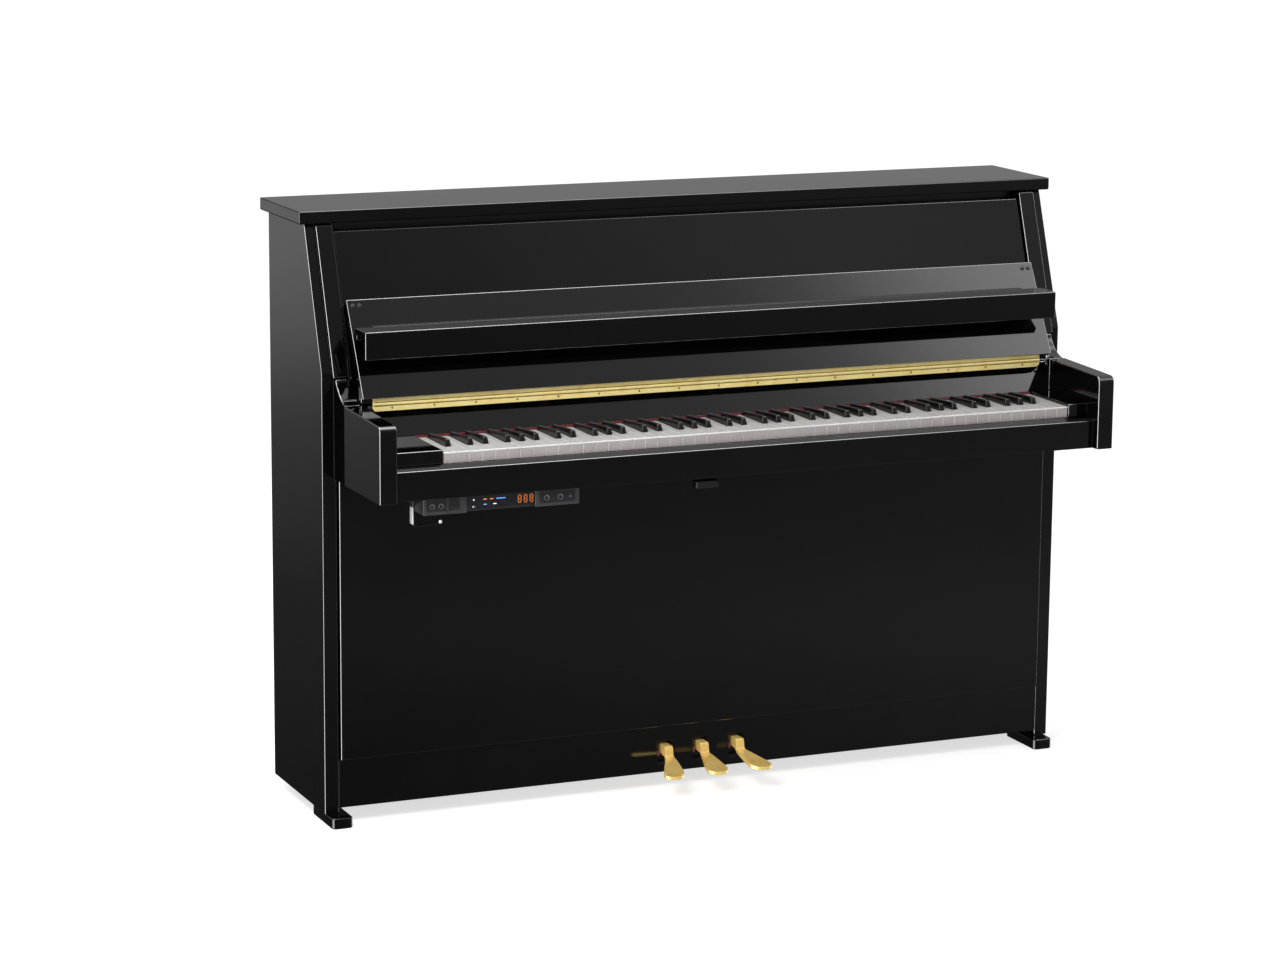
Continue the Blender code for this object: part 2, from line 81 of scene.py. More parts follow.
class Look:
    """A procedural material on a Principled shader, with constants set on the shader's own sockets."""

    made = {}

    def __init__(self, name, slot, **sockets):
        self.material = bpy.data.materials.new("look_" + name)
        self.material.use_nodes = True
        self.nodes = self.material.node_tree.nodes
        self.links = self.material.node_tree.links
        self.shader = self.nodes["Principled BSDF"]
        self.slot = slot
        for key, value in sockets.items():
            socket = self.shader.inputs[key.replace("_", " ").title().replace("Ior", "IOR")]
            socket.default_value = (*value, 1) if isinstance(value, tuple) else value
        self.coords = self.nodes.new("ShaderNodeTexCoord").outputs["Object"]
        Look.made[name] = self

    def stretched(self, scale, turn=(0, 0, 0)):
        node = self.nodes.new("ShaderNodeMapping")
        node.inputs["Rotation"].default_value = turn
        node.inputs["Scale"].default_value = scale
        self.links.new(self.coords, node.inputs["Vector"])
        return node.outputs["Vector"]

    def noise(self, scale, detail=4, vector=None, distortion=0):
        node = self.nodes.new("ShaderNodeTexNoise")
        node.inputs["Scale"].default_value = scale
        node.inputs["Detail"].default_value = detail
        node.inputs["Distortion"].default_value = distortion
        self.links.new(vector or self.coords, node.inputs["Vector"])
        return node.outputs["Fac"]

    def voronoi(self, scale):
        node = self.nodes.new("ShaderNodeTexVoronoi")
        node.inputs["Scale"].default_value = scale
        self.links.new(self.coords, node.inputs["Vector"])
        return node.outputs["Distance"]

    def mixed(self, one, other, share=0.5):
        node = self.nodes.new("ShaderNodeMix")
        node.inputs["Factor"].default_value = share
        self.links.new(one, node.inputs[2])
        self.links.new(other, node.inputs[3])
        return node.outputs[0]

    def ramp(self, fac, *stops):
        node = self.nodes.new("ShaderNodeValToRGB")
        fill_ramp(node, stops)
        self.links.new(fac, node.inputs["Fac"])
        return node.outputs["Color"]

    def span(self, fac, low, high, start=0.3, end=0.7):
        node = self.nodes.new("ShaderNodeMapRange")
        for key, value in (("From Min", start), ("From Max", end), ("To Min", low), ("To Max", high)):
            node.inputs[key].default_value = value
        self.links.new(fac, node.inputs["Value"])
        return node.outputs["Result"]

    def set(self, socket, output):
        self.links.new(output, self.shader.inputs[socket])

    def colour(self, fac, dark, light, start=0.3, end=0.7):
        self.set("Base Color", self.ramp(fac, (start, dark), (end, light)))

    def rough(self, fac, low, high, start=0.3, end=0.7):
        self.set("Roughness", self.span(fac, low, high, start, end))

    def bump(self, *layers):
        """Each layer is a height output, a strength and a depth in metres."""
        before = None
        for height, strength, depth in layers:
            node = self.nodes.new("ShaderNodeBump")
            node.inputs["Strength"].default_value = strength
            node.inputs["Distance"].default_value = depth
            self.links.new(height, node.inputs["Height"])
            if before:
                self.links.new(before, node.inputs["Normal"])
            before = node.outputs["Normal"]
        self.set("Normal", before)


def make_looks():
    for name, ior, low, high in (("ebony", 1.52, 0.035, 0.075), ("ebony_edge", 2.4, 0.1, 0.16)):
        look = Look(name, "ebony", ior=ior)
        cloud = look.noise(7, 3)
        dust = look.noise(900, 2)
        look.colour(cloud, (0.0011, 0.0011, 0.0012), (0.0018, 0.0018, 0.0018), 0.35, 0.65)
        look.rough(look.mixed(cloud, dust, 0.6), low, high)
        look.bump((look.noise(55, 2), 0.035, 0.0004), (look.noise(9, 1), 0.02, 0.002))

    look = Look("ebony_satin", "ebony", ior=1.5)
    grain = look.noise(1, 5, look.stretched((900, 60, 900)))
    look.colour(grain, (0.008, 0.008, 0.009), (0.016, 0.015, 0.015))
    look.rough(grain, 0.2, 0.34)
    look.bump((grain, 0.12, 0.0003))

    fine_coat = {"coat_weight": 0.25, "coat_roughness": 0.06}
    for name, dark, light, low, high, coat in (
        ("white_key", (0.8, 0.785, 0.765), (0.86, 0.85, 0.835), 0.16, 0.28, fine_coat),
        # The front plates get a darker base than the key tops: painted shade on the fronts.
        ("key_front_painted_shade", (0.38, 0.345, 0.335), (0.43, 0.395, 0.385), 0.3, 0.42, {}),
    ):
        look = Look(name, "white_key", ior=1.49, **coat)
        look.colour(look.noise(30, 4), dark, light)
        look.rough(look.noise(450, 3), low, high)
        look.bump((look.noise(260, 3), 0.05, 0.0002))

    look = Look("black_key", "black_key", ior=1.5)
    grain = look.noise(1, 5, look.stretched((2200, 120, 2200)))
    look.colour(grain, (0.003, 0.003, 0.003), (0.007, 0.007, 0.007))
    look.rough(grain, 0.14, 0.24)
    look.bump((grain, 0.1, 0.0002))

    for name, (dark, light), low, high in (
        ("brass", ((0.97, 0.74, 0.26), (1, 0.84, 0.36)), 0.24, 0.38),
        ("brass_pedal", ((0.95, 0.62, 0.18), (1, 0.72, 0.24)), 0.24, 0.38),
        ("steel", ((0.56, 0.56, 0.58), (0.7, 0.7, 0.72)), 0.16, 0.32),
        ("copper", ((0.55, 0.25, 0.12), (0.72, 0.36, 0.18)), 0.25, 0.4),
        # This darker brass colours the screws, and also the painted shade strips along the fallboard hinge.
        ("screw_and_crease_shade", ((0.24, 0.17, 0.08), (0.4, 0.29, 0.13)), 0.25, 0.45),
        ("dark_steel", ((0.05, 0.05, 0.052), (0.1, 0.1, 0.1)), 0.18, 0.3),
        # This bright metal is used only for the hook's painted highlights.
        ("highlight_zinc", ((0.7, 0.7, 0.72), (0.84, 0.84, 0.86)), 0.2, 0.34),
    ):
        slot = "brass" if name.startswith(("brass", "screw_and_crease_shade")) else "steel"
        look = Look(name, slot, metallic=0.28 if name in ("brass", "brass_pedal", "highlight_zinc") else 1)
        brushed = look.noise(1, 4, look.stretched((30, 1400, 1400)))
        patina = look.noise(38, 5)
        look.colour(patina, dark, light, 0.3, 0.62)
        look.rough(look.mixed(brushed, patina), low, high)
        look.bump((brushed, 0.06, 0.0001))

    look = Look("iron", "iron", metallic=0.6, coat_weight=0.3, coat_roughness=0.2)
    cast = look.noise(320, 6)
    look.colour(cast, (0.36, 0.25, 0.1), (0.56, 0.42, 0.19))
    look.rough(look.noise(60, 4), 0.3, 0.5)
    look.bump((cast, 0.25, 0.0006), (look.noise(24, 3), 0.15, 0.0015))

    for name, dark, light, fuzz in (
        ("felt_red", (0.1, 0.004, 0.008), (0.22, 0.01, 0.018), 1500),
        ("felt_white", (0.6, 0.56, 0.49), (0.8, 0.77, 0.7), 1100),
        ("felt_black", (0.01, 0.01, 0.011), (0.03, 0.03, 0.032), 1500),
        ("felt_green", (0.03, 0.09, 0.05), (0.07, 0.17, 0.1), 1300),
    ):
        slot = "plastic" if name == "felt_black" else "felt_red" if name == "felt_red" else "felt_white"
        sheen = 0.05 if name == "felt_black" else 0.35
        look = Look(name, slot, roughness=0.95, sheen_weight=sheen, sheen_roughness=0.5)
        fibres = look.noise(fuzz, 6, distortion=0.8)
        look.colour(look.mixed(fibres, look.noise(90, 3)), dark, light, 0.35, 0.65)
        look.bump((fibres, 0.7, 0.0006))

    woods = {
        "spruce": (((0.5, 0.315, 0.15), (0.68, 0.475, 0.26)), 36, 0.34),
        "spruce_pale": (((0.62, 0.42, 0.22), (0.78, 0.58, 0.35)), 60, 0.3),
        "maple": (((0.47, 0.31, 0.17), (0.62, 0.44, 0.27)), 26, 0.4),
        "beech": (((0.36, 0.2, 0.1), (0.5, 0.3, 0.165)), 30, 0.38),
    }
    grains = {
        "x": ((0.9, 14, 14), (0, 0, 0)),
        "y": ((14, 0.9, 14), (0, 0, 0)),
        "z": ((14, 14, 0.9), (0, 0, 0)),
        "d": ((0.9, 14, 14), (0, math.radians(-45), 0)),
        "e": ((0.9, 14, 14), (0, math.radians(45), 0)),
    }
    for wood, ((dark, light), rings, rough) in woods.items():
        for way, (scale, turn) in grains.items():
            look = Look(f"{wood}_{way}", "maple" if wood in ("maple", "beech") else "spruce", ior=1.45)
            board = look.stretched(scale, turn)
            years = look.noise(rings / 14, 3, board, 0.6)
            fibre = look.noise(rings, 5, board)
            pores = look.noise(rings * 3, 2, board)
            tone = look.mixed(look.mixed(years, fibre, 0.45), pores, 0.25)
            look.colour(tone, dark, light, 0.32, 0.66)
            look.rough(fibre, rough, rough + 0.16)
            look.bump((fibre, 0.22, 0.0005), (pores, 0.18, 0.0002))

    for name, dark, light, low, high in (
        ("plastic", (0.014, 0.014, 0.015), (0.022, 0.022, 0.024), 0.34, 0.5),
        ("grey_plastic", (0.035, 0.035, 0.037), (0.052, 0.052, 0.055), 0.3, 0.45),
    ):
        look = Look(name, "plastic", ior=1.5)
        pebble = look.voronoi(1400)
        look.colour(look.noise(60), dark, light)
        look.rough(pebble, low, high, 0, 0.6)
        look.bump((pebble, 0.25, 0.0002))

    # Dark rubber for bumpers and linings, also used as the painted shade inside the socket openings.
    look = Look("rubber_and_hole_shade", "plastic", ior=1.45)
    look.colour(look.noise(200), (0.011, 0.011, 0.011), (0.02, 0.02, 0.02))
    look.rough(look.noise(700), 0.5, 0.7)
    look.bump((look.noise(1200), 0.2, 0.0002))

    look = Look("window", "plastic", ior=1.5, coat_weight=1, coat_roughness=0.04)
    look.colour(look.noise(90), (0.006, 0.006, 0.008), (0.012, 0.012, 0.015))
    look.rough(look.noise(300), 0.1, 0.18)

    for name, colour in (
        ("lamp_amber", (1, 0.25, 0.04)),
        ("lamp_blue", (0.12, 0.35, 1)),
        ("lamp_white", (0.9, 0.92, 1)),
    ):
        look = Look(name, "plastic", roughness=0.4, emission_strength=0.9)
        glow = look.noise(800, 2)
        dim = tuple(0.75 * c for c in colour)
        look.set("Emission Color", look.ramp(glow, (0.3, dim), (0.7, colour)))
        look.colour(glow, dim, colour)


# ---- mesh code ----
def prism(bm, outline, low, high, axis):
    """Extrudes an outline along an axis. The outline is in the two other axes, in the order x, y, z."""
    rings = []
    for end in (low, high):
        ring = []
        for u, v in outline:
            point = [u, v]
            point.insert(axis, end)
            ring.append(bm.verts.new(point))
        rings.append(ring)
    bm.faces.new(rings[0])
    bm.faces.new(rings[1][::-1])
    bridge(bm, *rings)


def bridge(bm, one, other):
    count = len(one)
    for i in range(count):
        j = (i + 1) % count
        bm.faces.new((one[i], one[j], other[j], other[i]))


def box(bm, x0, x1, y0, y1, z0, z1):
    prism(bm, [(y0, z0), (y1, z0), (y1, z1), (y0, z1)], x0, x1, 0)


def loft(bm, sections):
    """Joins closed sections of equal point count, and closes both ends."""
    rings = [[bm.verts.new(p) for p in section] for section in sections]
    for one, other in zip(rings, rings[1:]):
        bridge(bm, one, other)
    bm.faces.new(rings[0][::-1])
    bm.faces.new(rings[-1])


def lathe(bm, origin, direction, profile, sides=16):
    """A turned shape. The profile holds distances along the direction with radii."""
    along = Vector(direction).normalized()
    side = along.orthogonal().normalized()
    other = along.cross(side)
    sections = []
    for distance, radius in profile:
        centre = Vector(origin) + along * distance
        turns = [2 * math.pi * (i + 0.5) / sides for i in range(sides)]
        sections.append([centre + (side * math.cos(t) + other * math.sin(t)) * radius for t in turns])
    loft(bm, sections)


def rod(bm, start, end, radius, sides=8):
    way = Vector(end) - Vector(start)
    lathe(bm, start, way, [(0, radius), (way.length, radius)], sides)


def blocks(bm, solid, holes=()):
    """One closed body from boxes (x0, x1, y0, y1, z0, z1), less the hole boxes."""
    every = [*solid, *holes]
    grid = [np.unique(np.round([b[k] for b in every for k in (2 * a, 2 * a + 1)], 6)) for a in range(3)]
    filled = np.zeros([len(g) + 1 for g in grid], bool)
    for mark, group in ((True, solid), (False, holes)):
        for b in group:
            span = []
            for a in range(3):
                ends = np.searchsorted(grid[a], np.round([b[2 * a], b[2 * a + 1]], 6))
                span.append(slice(ends[0] + 1, ends[1] + 1))
            filled[tuple(span)] = mark
    corners = {}

    def corner(i, j, k):
        if (i, j, k) not in corners:
            corners[i, j, k] = bm.verts.new((grid[0][i], grid[1][j], grid[2][k]))
        return corners[i, j, k]

    for a in range(3):
        b, c = (a + 1) % 3, (a + 2) % 3
        for cell in np.argwhere(np.diff(filled.astype(int), axis=a) != 0):
            quad = []
            for db, dc in ((0, 0), (1, 0), (1, 1), (0, 1)):
                place = list(cell)
                place[b] += db - 1
                place[c] += dc - 1
                quad.append(corner(*place))
            bm.faces.new(quad)
    bmesh.ops.recalc_face_normals(bm, faces=bm.faces)
    bmesh.ops.dissolve_limit(bm, angle_limit=0.001, verts=bm.verts[:], edges=bm.edges[:])


def piece(name, build, look, body="cabinet", nodes=(), bevel=0, segments=3, smooth=40, edge=None):
    """Makes an object from a function that fills a bmesh, with its look, its body and its CAD nodes."""
    bm = bmesh.new()
    build(bm)
    bmesh.ops.recalc_face_normals(bm, faces=bm.faces)
    mesh = bpy.data.meshes.new(name)
    bm.to_mesh(mesh)
    bm.free()
    mesh.shade_smooth()
    mesh.set_sharp_from_angle(angle=math.radians(smooth))
    finish = Look.made[look]
    mesh.materials.append(finish.material)
    obj = bpy.data.objects.new(name, mesh)
    bpy.context.scene.collection.objects.link(obj)
    if bevel:
        modifier = obj.modifiers.new("Edges", "BEVEL")
        modifier.width = bevel
        modifier.segments = segments
        modifier.limit_method = "ANGLE"
        modifier.angle_limit = math.radians(28)
        modifier.harden_normals = True
    if edge:
        mesh.materials.append(Look.made[edge].material)
        modifier.material = 1
    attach(obj, body)
    if nodes:
        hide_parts(*([nodes] if isinstance(nodes, str) else nodes))
    return obj


def board(name, outline, x0, x1, look="ebony", **more):
    return piece(name, lambda bm: prism(bm, outline, x0, x1, 0), look, smooth=15, **more)


def crate(name, solid, look, holes=(), **more):
    return piece(name, lambda bm: blocks(bm, solid, holes), look, **more)


def boxes(name, solids, look, **more):
    def build(bm):
        for solid in solids:
            box(bm, *solid)

    return piece(name, build, look, **more)


def turned(name, spots, direction, profile, look, sides, **more):
    def build(bm):
        for spot in spots:
            lathe(bm, spot, direction, profile, sides)

    return piece(name, build, look, **more)


def lacquer(width, segments=4):
    """Bevel of a lacquered board, with its burnished edge."""
    return {"bevel": width, "segments": segments, "edge": "ebony_edge"}


def lean_y(z):
    return -0.026 + (z - 0.8156) * LEAN


def pair(x0, x1, side):
    return (x0, x1) if side > 0 else (-x1, -x0)


def pchip(xs, ys, at):
    """Monotone cubic interpolation, so a smooth shape never overshoots its stations."""
    xs, ys = np.array(xs, float), np.array(ys, float)
    step, slope = np.diff(xs), np.diff(ys) / np.diff(xs)
    tangent = np.zeros(len(xs))
    for i in range(1, len(xs) - 1):
        if slope[i - 1] * slope[i] > 0:
            w1, w2 = 2 * step[i] + step[i - 1], step[i] + 2 * step[i - 1]
            tangent[i] = (w1 + w2) / (w1 / slope[i - 1] + w2 / slope[i])
    tangent[0], tangent[-1] = slope[0], slope[-1]
    k = np.clip(np.searchsorted(xs, at, side="right") - 1, 0, len(step) - 1)
    t = (at - xs[k]) / step[k]
    a, b = 1 + t * t * (2 * t - 3), t * t * (3 - 2 * t)
    c, d = t * (1 - t) ** 2, t * t * (t - 1)
    return a * ys[k] + b * ys[k + 1] + step[k] * (c * tangent[k] + d * tangent[k + 1])


def screw_head(radius, rise):
    return [(0, radius), (rise * 0.6, radius), (rise, radius * 0.7)]


# ---- cabinet ----
def make_cabinet():
    lid = [(0.048, 1.0675), (0.27, 1.0675), (0.27, 1.09), (0.048, 1.09)]
    board("lid_board", lid, -0.7465, 0.7465, body="lid", nodes="top_lid", bevel=0.0028, segments=5)
    spots = [(x, 0.075, 1.0676) for x in (-0.695, -0.35, 0.35, 0.695)]
    turned("lid_buffers", spots, (0, 0, -1), [(0, 0.006), (0.0004, 0.006)], "felt_black", 18, body="lid")
    side = [(-0.026, 0.02), (-0.026, 0.8156), (lean_y(1.067), 1.067), (0.262, 1.067), (0.262, 0.02)]
    for hand, sign in (("left", -1), ("right", 1)):
        board(f"side_board_{hand}", side, *pair(0.707, 0.733, sign), nodes=f"side_{hand}", **lacquer(0.0016))
        make_stile(hand, sign)
        make_arm(hand, sign)
        make_toe(hand, sign)
    low, high = 0.768, 1.052
    panel = [(lean_y(low) - 0.001, low), (lean_y(high) - 0.001, high)]
    panel += [(lean_y(high) + 0.017, high), (lean_y(low) + 0.017, low)]
    board("upper_panel", panel, -0.681, 0.681, nodes="upper_front_panel", **lacquer(0.0014))
    front = [(-0.034, 0.1185), (-0.034, 0.6262), (-0.019, 0.6262), (-0.019, 0.1185)]
    board("lower_panel", front, -0.7045, 0.7045, nodes="lower_front_panel", **lacquer(0.0018))
    rail = [(-FRAME_HALF, FRAME_HALF, -0.026, -0.006, 0.03, 0.118)]
    slots = [(x - 0.0165, x + 0.0165, -0.03, 0, 0.044, 0.089) for x in PEDALS]
    crate("pedal_rail_board", rail, "ebony", slots, nodes="pedal_rail", bevel=0.0005)
    lining = [(x - 0.0164, x + 0.0164, -0.0225, -0.0065, 0.0441, 0.0889) for x in PEDALS]
    inner = [(x - 0.0148, x + 0.0148, -0.03, 0, 0.0457, 0.0873) for x in PEDALS]
    crate("pedal_slot_felts", lining, "rubber_and_hole_shade", inner)
    base = [(-FRAME_HALF, FRAME_HALF, -0.0055, 0.1995, 0.036, 0.056)]
    for x in PEDALS:
        for edge in (-0.0165, 0.0125):
            base.append((x + edge, x + edge + 0.004, 0.028, 0.052, 0.05, 0.088))
    crate("floor_board", base, "ebony_satin", nodes="bottom_board", bevel=0.001)
    # A dark satin rail behind the top of the upper panel closes the gap under the lid; its dark face stands
    # in for the shade of the recess there.
    stop = [(0.0815, 1.02), (0.0925, 1.024), (0.0925, 1.064), (0.0815, 1.064)]
    board("recess_shade_rail", stop, -0.68, 0.68, look="ebony_satin", bevel=0.001)
    bushes = []
    for x in PEDALS:
        for x0, x1 in ((-0.0146, -0.0118), (0.0118, 0.0146)):
            bushes.append((x + x0, x + x1, -0.027, -0.008, 0.062, 0.07))
    crate("pedal_bushes", bushes, "felt_red", bevel=0.0006, segments=2)
    latch = [(-0.0225, 0.0225, -0.044, -0.0343, 0.562, 0.576)]
    boxes("panel_latch_tab", latch, "plastic", nodes="panel_latch", bevel=0.0025, segments=4)


def make_stile(hand, sign):
    def build(bm):
        sections = []
        for z in (0.8082, 1.0641):
            front = lean_y(z)
            outline = [(0.684, -0.009), (0.7145, -0.009), (0.7145, -0.0004)]
            outline += [(0.7066, -0.0004), (0.7066, 0.026), (0.684, 0.026)]
            sections.append([(sign * x, front + y, z) for x, y in outline])
        loft(bm, sections)

    piece(f"stile_board_{hand}", build, "ebony", nodes=f"stile_{hand}", **lacquer(0.0016))


def make_arm(hand, sign):
    base, front, seam = 0.627, -0.27, -0.087
    nose = [(front, base), (front, 0.7503)]
    for step in range(1, 11):
        turn = math.radians(9 * step)
        nose.append((front + 0.012 - 0.012 * math.cos(turn), 0.7503 + 0.012 * math.sin(turn)))
    top = [(-0.21, 0.764), (seam, 0.7674), (seam, base)]
    rise = [
        (-0.083, 0.768), (-0.0782, 0.769), (-0.068, 0.7728), (-0.0575, 0.7795), (-0.048, 0.7877),
        (-0.0412, 0.7965), (-0.0376, 0.8055),
    ]
    at = np.linspace(rise[0][0], rise[-1][0], 18)
    curve = list(zip(at, pchip([p[0] for p in rise], [p[1] for p in rise], at)))
    cheek = [(seam + 0.0004, base), (seam + 0.0004, 0.7672), *curve, (-0.0264, 0.8055), (-0.0264, base)]

    def build(bm):
        prism(bm, nose + top, *pair(0.6816, 0.7132, sign), 0)
        prism(bm, cheek, *pair(0.6816, 0.711, sign), 0)

    piece(f"arm_board_{hand}", build, "ebony", nodes=f"arm_{hand}", **lacquer(0.0018))


def make_toe(hand, sign):
    def build(bm):
        x0, x1 = pair(0.69, 0.7295, sign)
        corners = ((x1, 0.057, 0), (x0, 0.057, 90), (x0, -0.057, 180), (x1, -0.057, 270))
        outline, radius = [], 0.009
        for x, y, start in corners:
            cx = x - math.copysign(radius, math.cos(math.radians(start + 45)))
            cy = y - math.copysign(radius, math.sin(math.radians(start + 45)))
            for step in range(7):
                turn = math.radians(start + 15 * step)
                outline.append((cx + radius * math.cos(turn), cy + radius * math.sin(turn)))
        prism(bm, outline, 0, 0.0196, 2)

    piece(f"toe_{hand}", build, "ebony", nodes=f"toe_block_{hand}", bevel=0.0022, segments=4)


# ---- key surround ----
def make_surround():
    bed = [(-BED_HALF, BED_HALF, UNIT_FRONT, 0.125, BED_LOW, 0.652)]
    crate("keybed_board", bed, "ebony_satin", nodes="keybed", bevel=0.001)
    slip = [(-0.2526, BED_LOW), (-0.2526, 0.678), (-0.239, 0.684), (-0.235, 0.684), (-0.235, BED_LOW)]
    board("key_slip_board", slip, -BED_HALF, BED_HALF, nodes="key_slip", **lacquer(0.001, 3))
    for hand, x0, x1 in (("left", -BED_HALF, -0.584), ("right", 0.642, BED_HALF)):
        block = [(-0.23, BED_TOP), (-0.23, BLOCK_TOP), (-0.089, BLOCK_TOP), (-0.089, BED_TOP)]
        board(f"key_end_{hand}", block, x0, x1, nodes=f"key_block_{hand}", **lacquer(0.0015))

    def nameboard(bm):
        low, high = 0.7535, 0.7635
        face = [(-0.087, BLOCK_TOP), (-0.0626, low), (-0.0626, high), (-0.0455, high), (-0.0455, low)]
        prism(bm, [*face, (-0.0683, BLOCK_TOP)], -FALL_HALF, FALL_HALF, 0)
        prism(bm, [(-0.0835, low), (-0.0835, high), (-0.0635, high), (-0.0635, low)], -0.664, 0.664, 0)

    piece("name_board", nameboard, "ebony", nodes="nameboard", bevel=0.0008, smooth=15)
    felt = [(*KEYS_SPAN, -0.0878, -0.07, 0.704, 0.7071)]
    boxes("name_felt", felt, "felt_red", nodes="nameboard_felt", bevel=0.0009)
    rows = ((-0.215, -0.185, 0.66), (-0.02, 0, 0.6725), (0.07, 0.096, 0.666))
    rails = [(*KEYS_SPAN, y0, y1, BED_TOP, top) for y0, y1, top in rows]
    rails += [(x, x + 0.02, -0.215, 0.096, BED_TOP, 0.658) for x in (-0.583, -0.18, 0.22, 0.621)]
    crate("key_frame_rails", rails, "spruce_x", nodes="key_frame", bevel=0.0008)


# ---- keys ----
def key_layout():
    """For each of the 88 keys: (is_white, white index or None, cell left, cell right)."""
    letters = "ABCDEFG"
    keys = []
    for white in range(52):
        letter = letters[white % 7]
        octave = white - (white + 5) % 7
        start, size, cells = (octave, 3, 5) if letter in "CDE" else (octave + 3, 4, 7)
        step = size * PITCH / cells
        left = KEYS_LEFT + start * PITCH + 2 * (white - start) * step
        keys.append((True, white, left, left + step))
        if letter not in "BE" and white < 51:
            keys.append((False, None, left + step, left + 2 * step))
    return keys


KEYS = key_layout()
FIRST = next(i for i, key in enumerate(KEYS) if key[1] == MIDDLE)


def note_x(number):
    return (KEYS[number][2] + KEYS[number][3]) / 2


def white_outline(number, inset=0, front=0):
    x0 = KEYS_LEFT + KEYS[number][1] * PITCH + 0.0003
    x1 = x0 + PITCH - 0.0006
    tail0, tail1 = x0, x1
    if number > 0 and not KEYS[number - 1][0]:
        tail0 = note_x(number - 1) + BLACK_HALF + 0.0013
    if number < 87 and not KEYS[number + 1][0]:
        tail1 = note_x(number + 1) - BLACK_HALF - 0.0013
    notch = BLACK_FRONT - 0.0015 - inset
    x0, x1, tail0, tail1 = x0 + inset, x1 - inset, tail0 + inset, tail1 - inset
    outline = [(x0, WHITE_FRONT + front), (x1, WHITE_FRONT + front)]
    outline += [(x1, notch), (tail1, notch)] if tail1 < x1 - 1e-6 else []
    outline += [(tail1, WHITE_REAR), (tail0, WHITE_REAR)]
    outline += [(tail0, notch), (x0, notch)] if tail0 > x0 + 1e-6 else []
    return outline


def white_key(bm, number):
    prism(bm, white_outline(number), 0.7004, 0.703, 2)
    prism(bm, white_outline(number, 0.0002, 0.0007), 0.683, 0.7001, 2)


def paint_key_front_shade(obj):
    """Gives the front plates of the naturals a darker look of their own, which is painted shade."""
    obj.data.materials.append(Look.made["key_front_painted_shade"].material)
    for face in obj.data.polygons:
        if face.normal.y < -0.9 and face.center.z < 0.7002:
            face.material_index = 1


def black_key(bm, number):
    x = note_x(number)
    wide, slim = BLACK_HALF, BLACK_HALF - 0.001
    levels = (
        (0.685, wide, BLACK_FRONT, 0.685),
        (0.7035, wide, BLACK_FRONT + 0.0002, 0.7035),
        (0.7148, slim, BLACK_FRONT + 0.005, 0.7105),
    )
    sections = []
    for front_z, half, front_y, rear_z in levels:
        ring = [(x - half, front_y, front_z), (x + half, front_y, front_z)]
        sections.append([*ring, (x + half, BLACK_REAR, rear_z), (x - half, BLACK_REAR, rear_z)])
    loft(bm, sections)


def key_stick(bm, number):
    x = note_x(number)
    if KEYS[number][0]:
        box(bm, x - 0.0054, x + 0.0054, -0.219, 0.088, 0.6745, 0.6828)
        box(bm, x - 0.0054, x + 0.0054, WHITE_REAR + 0.0002, 0.088, 0.6829, 0.7)
    else:
        box(bm, x - 0.0048, x + 0.0048, -0.179, 0.088, 0.6745, 0.6848)
        box(bm, x - 0.0048, x + 0.0048, BLACK_REAR + 0.0002, 0.088, 0.6849, 0.7)


def capstan(bm, number):
    profile = [(0, 0.0016), (0.003, 0.0016), (0.0034, 0.003), (0.0062, 0.003), (0.008, 0.0018)]
    lathe(bm, (note_x(number), 0.07, 0.7), (0, 0, 1), profile, 12)


def several(build, numbers):
    def all_of(bm):
        for number in numbers:
            build(bm, number)

    return all_of


def make_keys():
    spans = {"bass": range(0, FIRST), "treble": range(FIRST + 12, 88)}
    for part, span in spans.items():
        whites = [n for n in span if KEYS[n][0]]
        blacks = [n for n in span if not KEYS[n][0]]
        more = {"nodes": f"white_keys_{part}", "bevel": 0.0006}
        paint_key_front_shade(piece(f"naturals_{part}", several(white_key, whites), "white_key", **more))
        more = {"nodes": f"black_keys_{part}", "bevel": 0.0011, "segments": 4}
        piece(f"sharps_{part}", several(black_key, blacks), "black_key", **more)
        piece(f"sticks_{part}", several(key_stick, span), "spruce_pale_y", bevel=0.0003, segments=1)
        piece(f"capstans_{part}", several(capstan, span), "brass")
    for offset, letter in enumerate(OCTAVE):
        number, body = FIRST + offset, f"key_{letter}4"
        more = {"body": body, "nodes": body, "segments": 4}
        if KEYS[number][0]:
            top = piece(f"top_{letter}4", several(white_key, [number]), "white_key", bevel=0.0006, **more)
            paint_key_front_shade(top)
        else:
            piece(f"top_{letter}4", several(black_key, [number]), "black_key", bevel=0.0011, **more)
        more = {"body": body, "bevel": 0.0003, "segments": 1}
        piece(f"stick_{letter}4", several(key_stick, [number]), "spruce_pale_y", **more)
        piece(f"capstan_{letter}4", several(capstan, [number]), "brass", body=body)


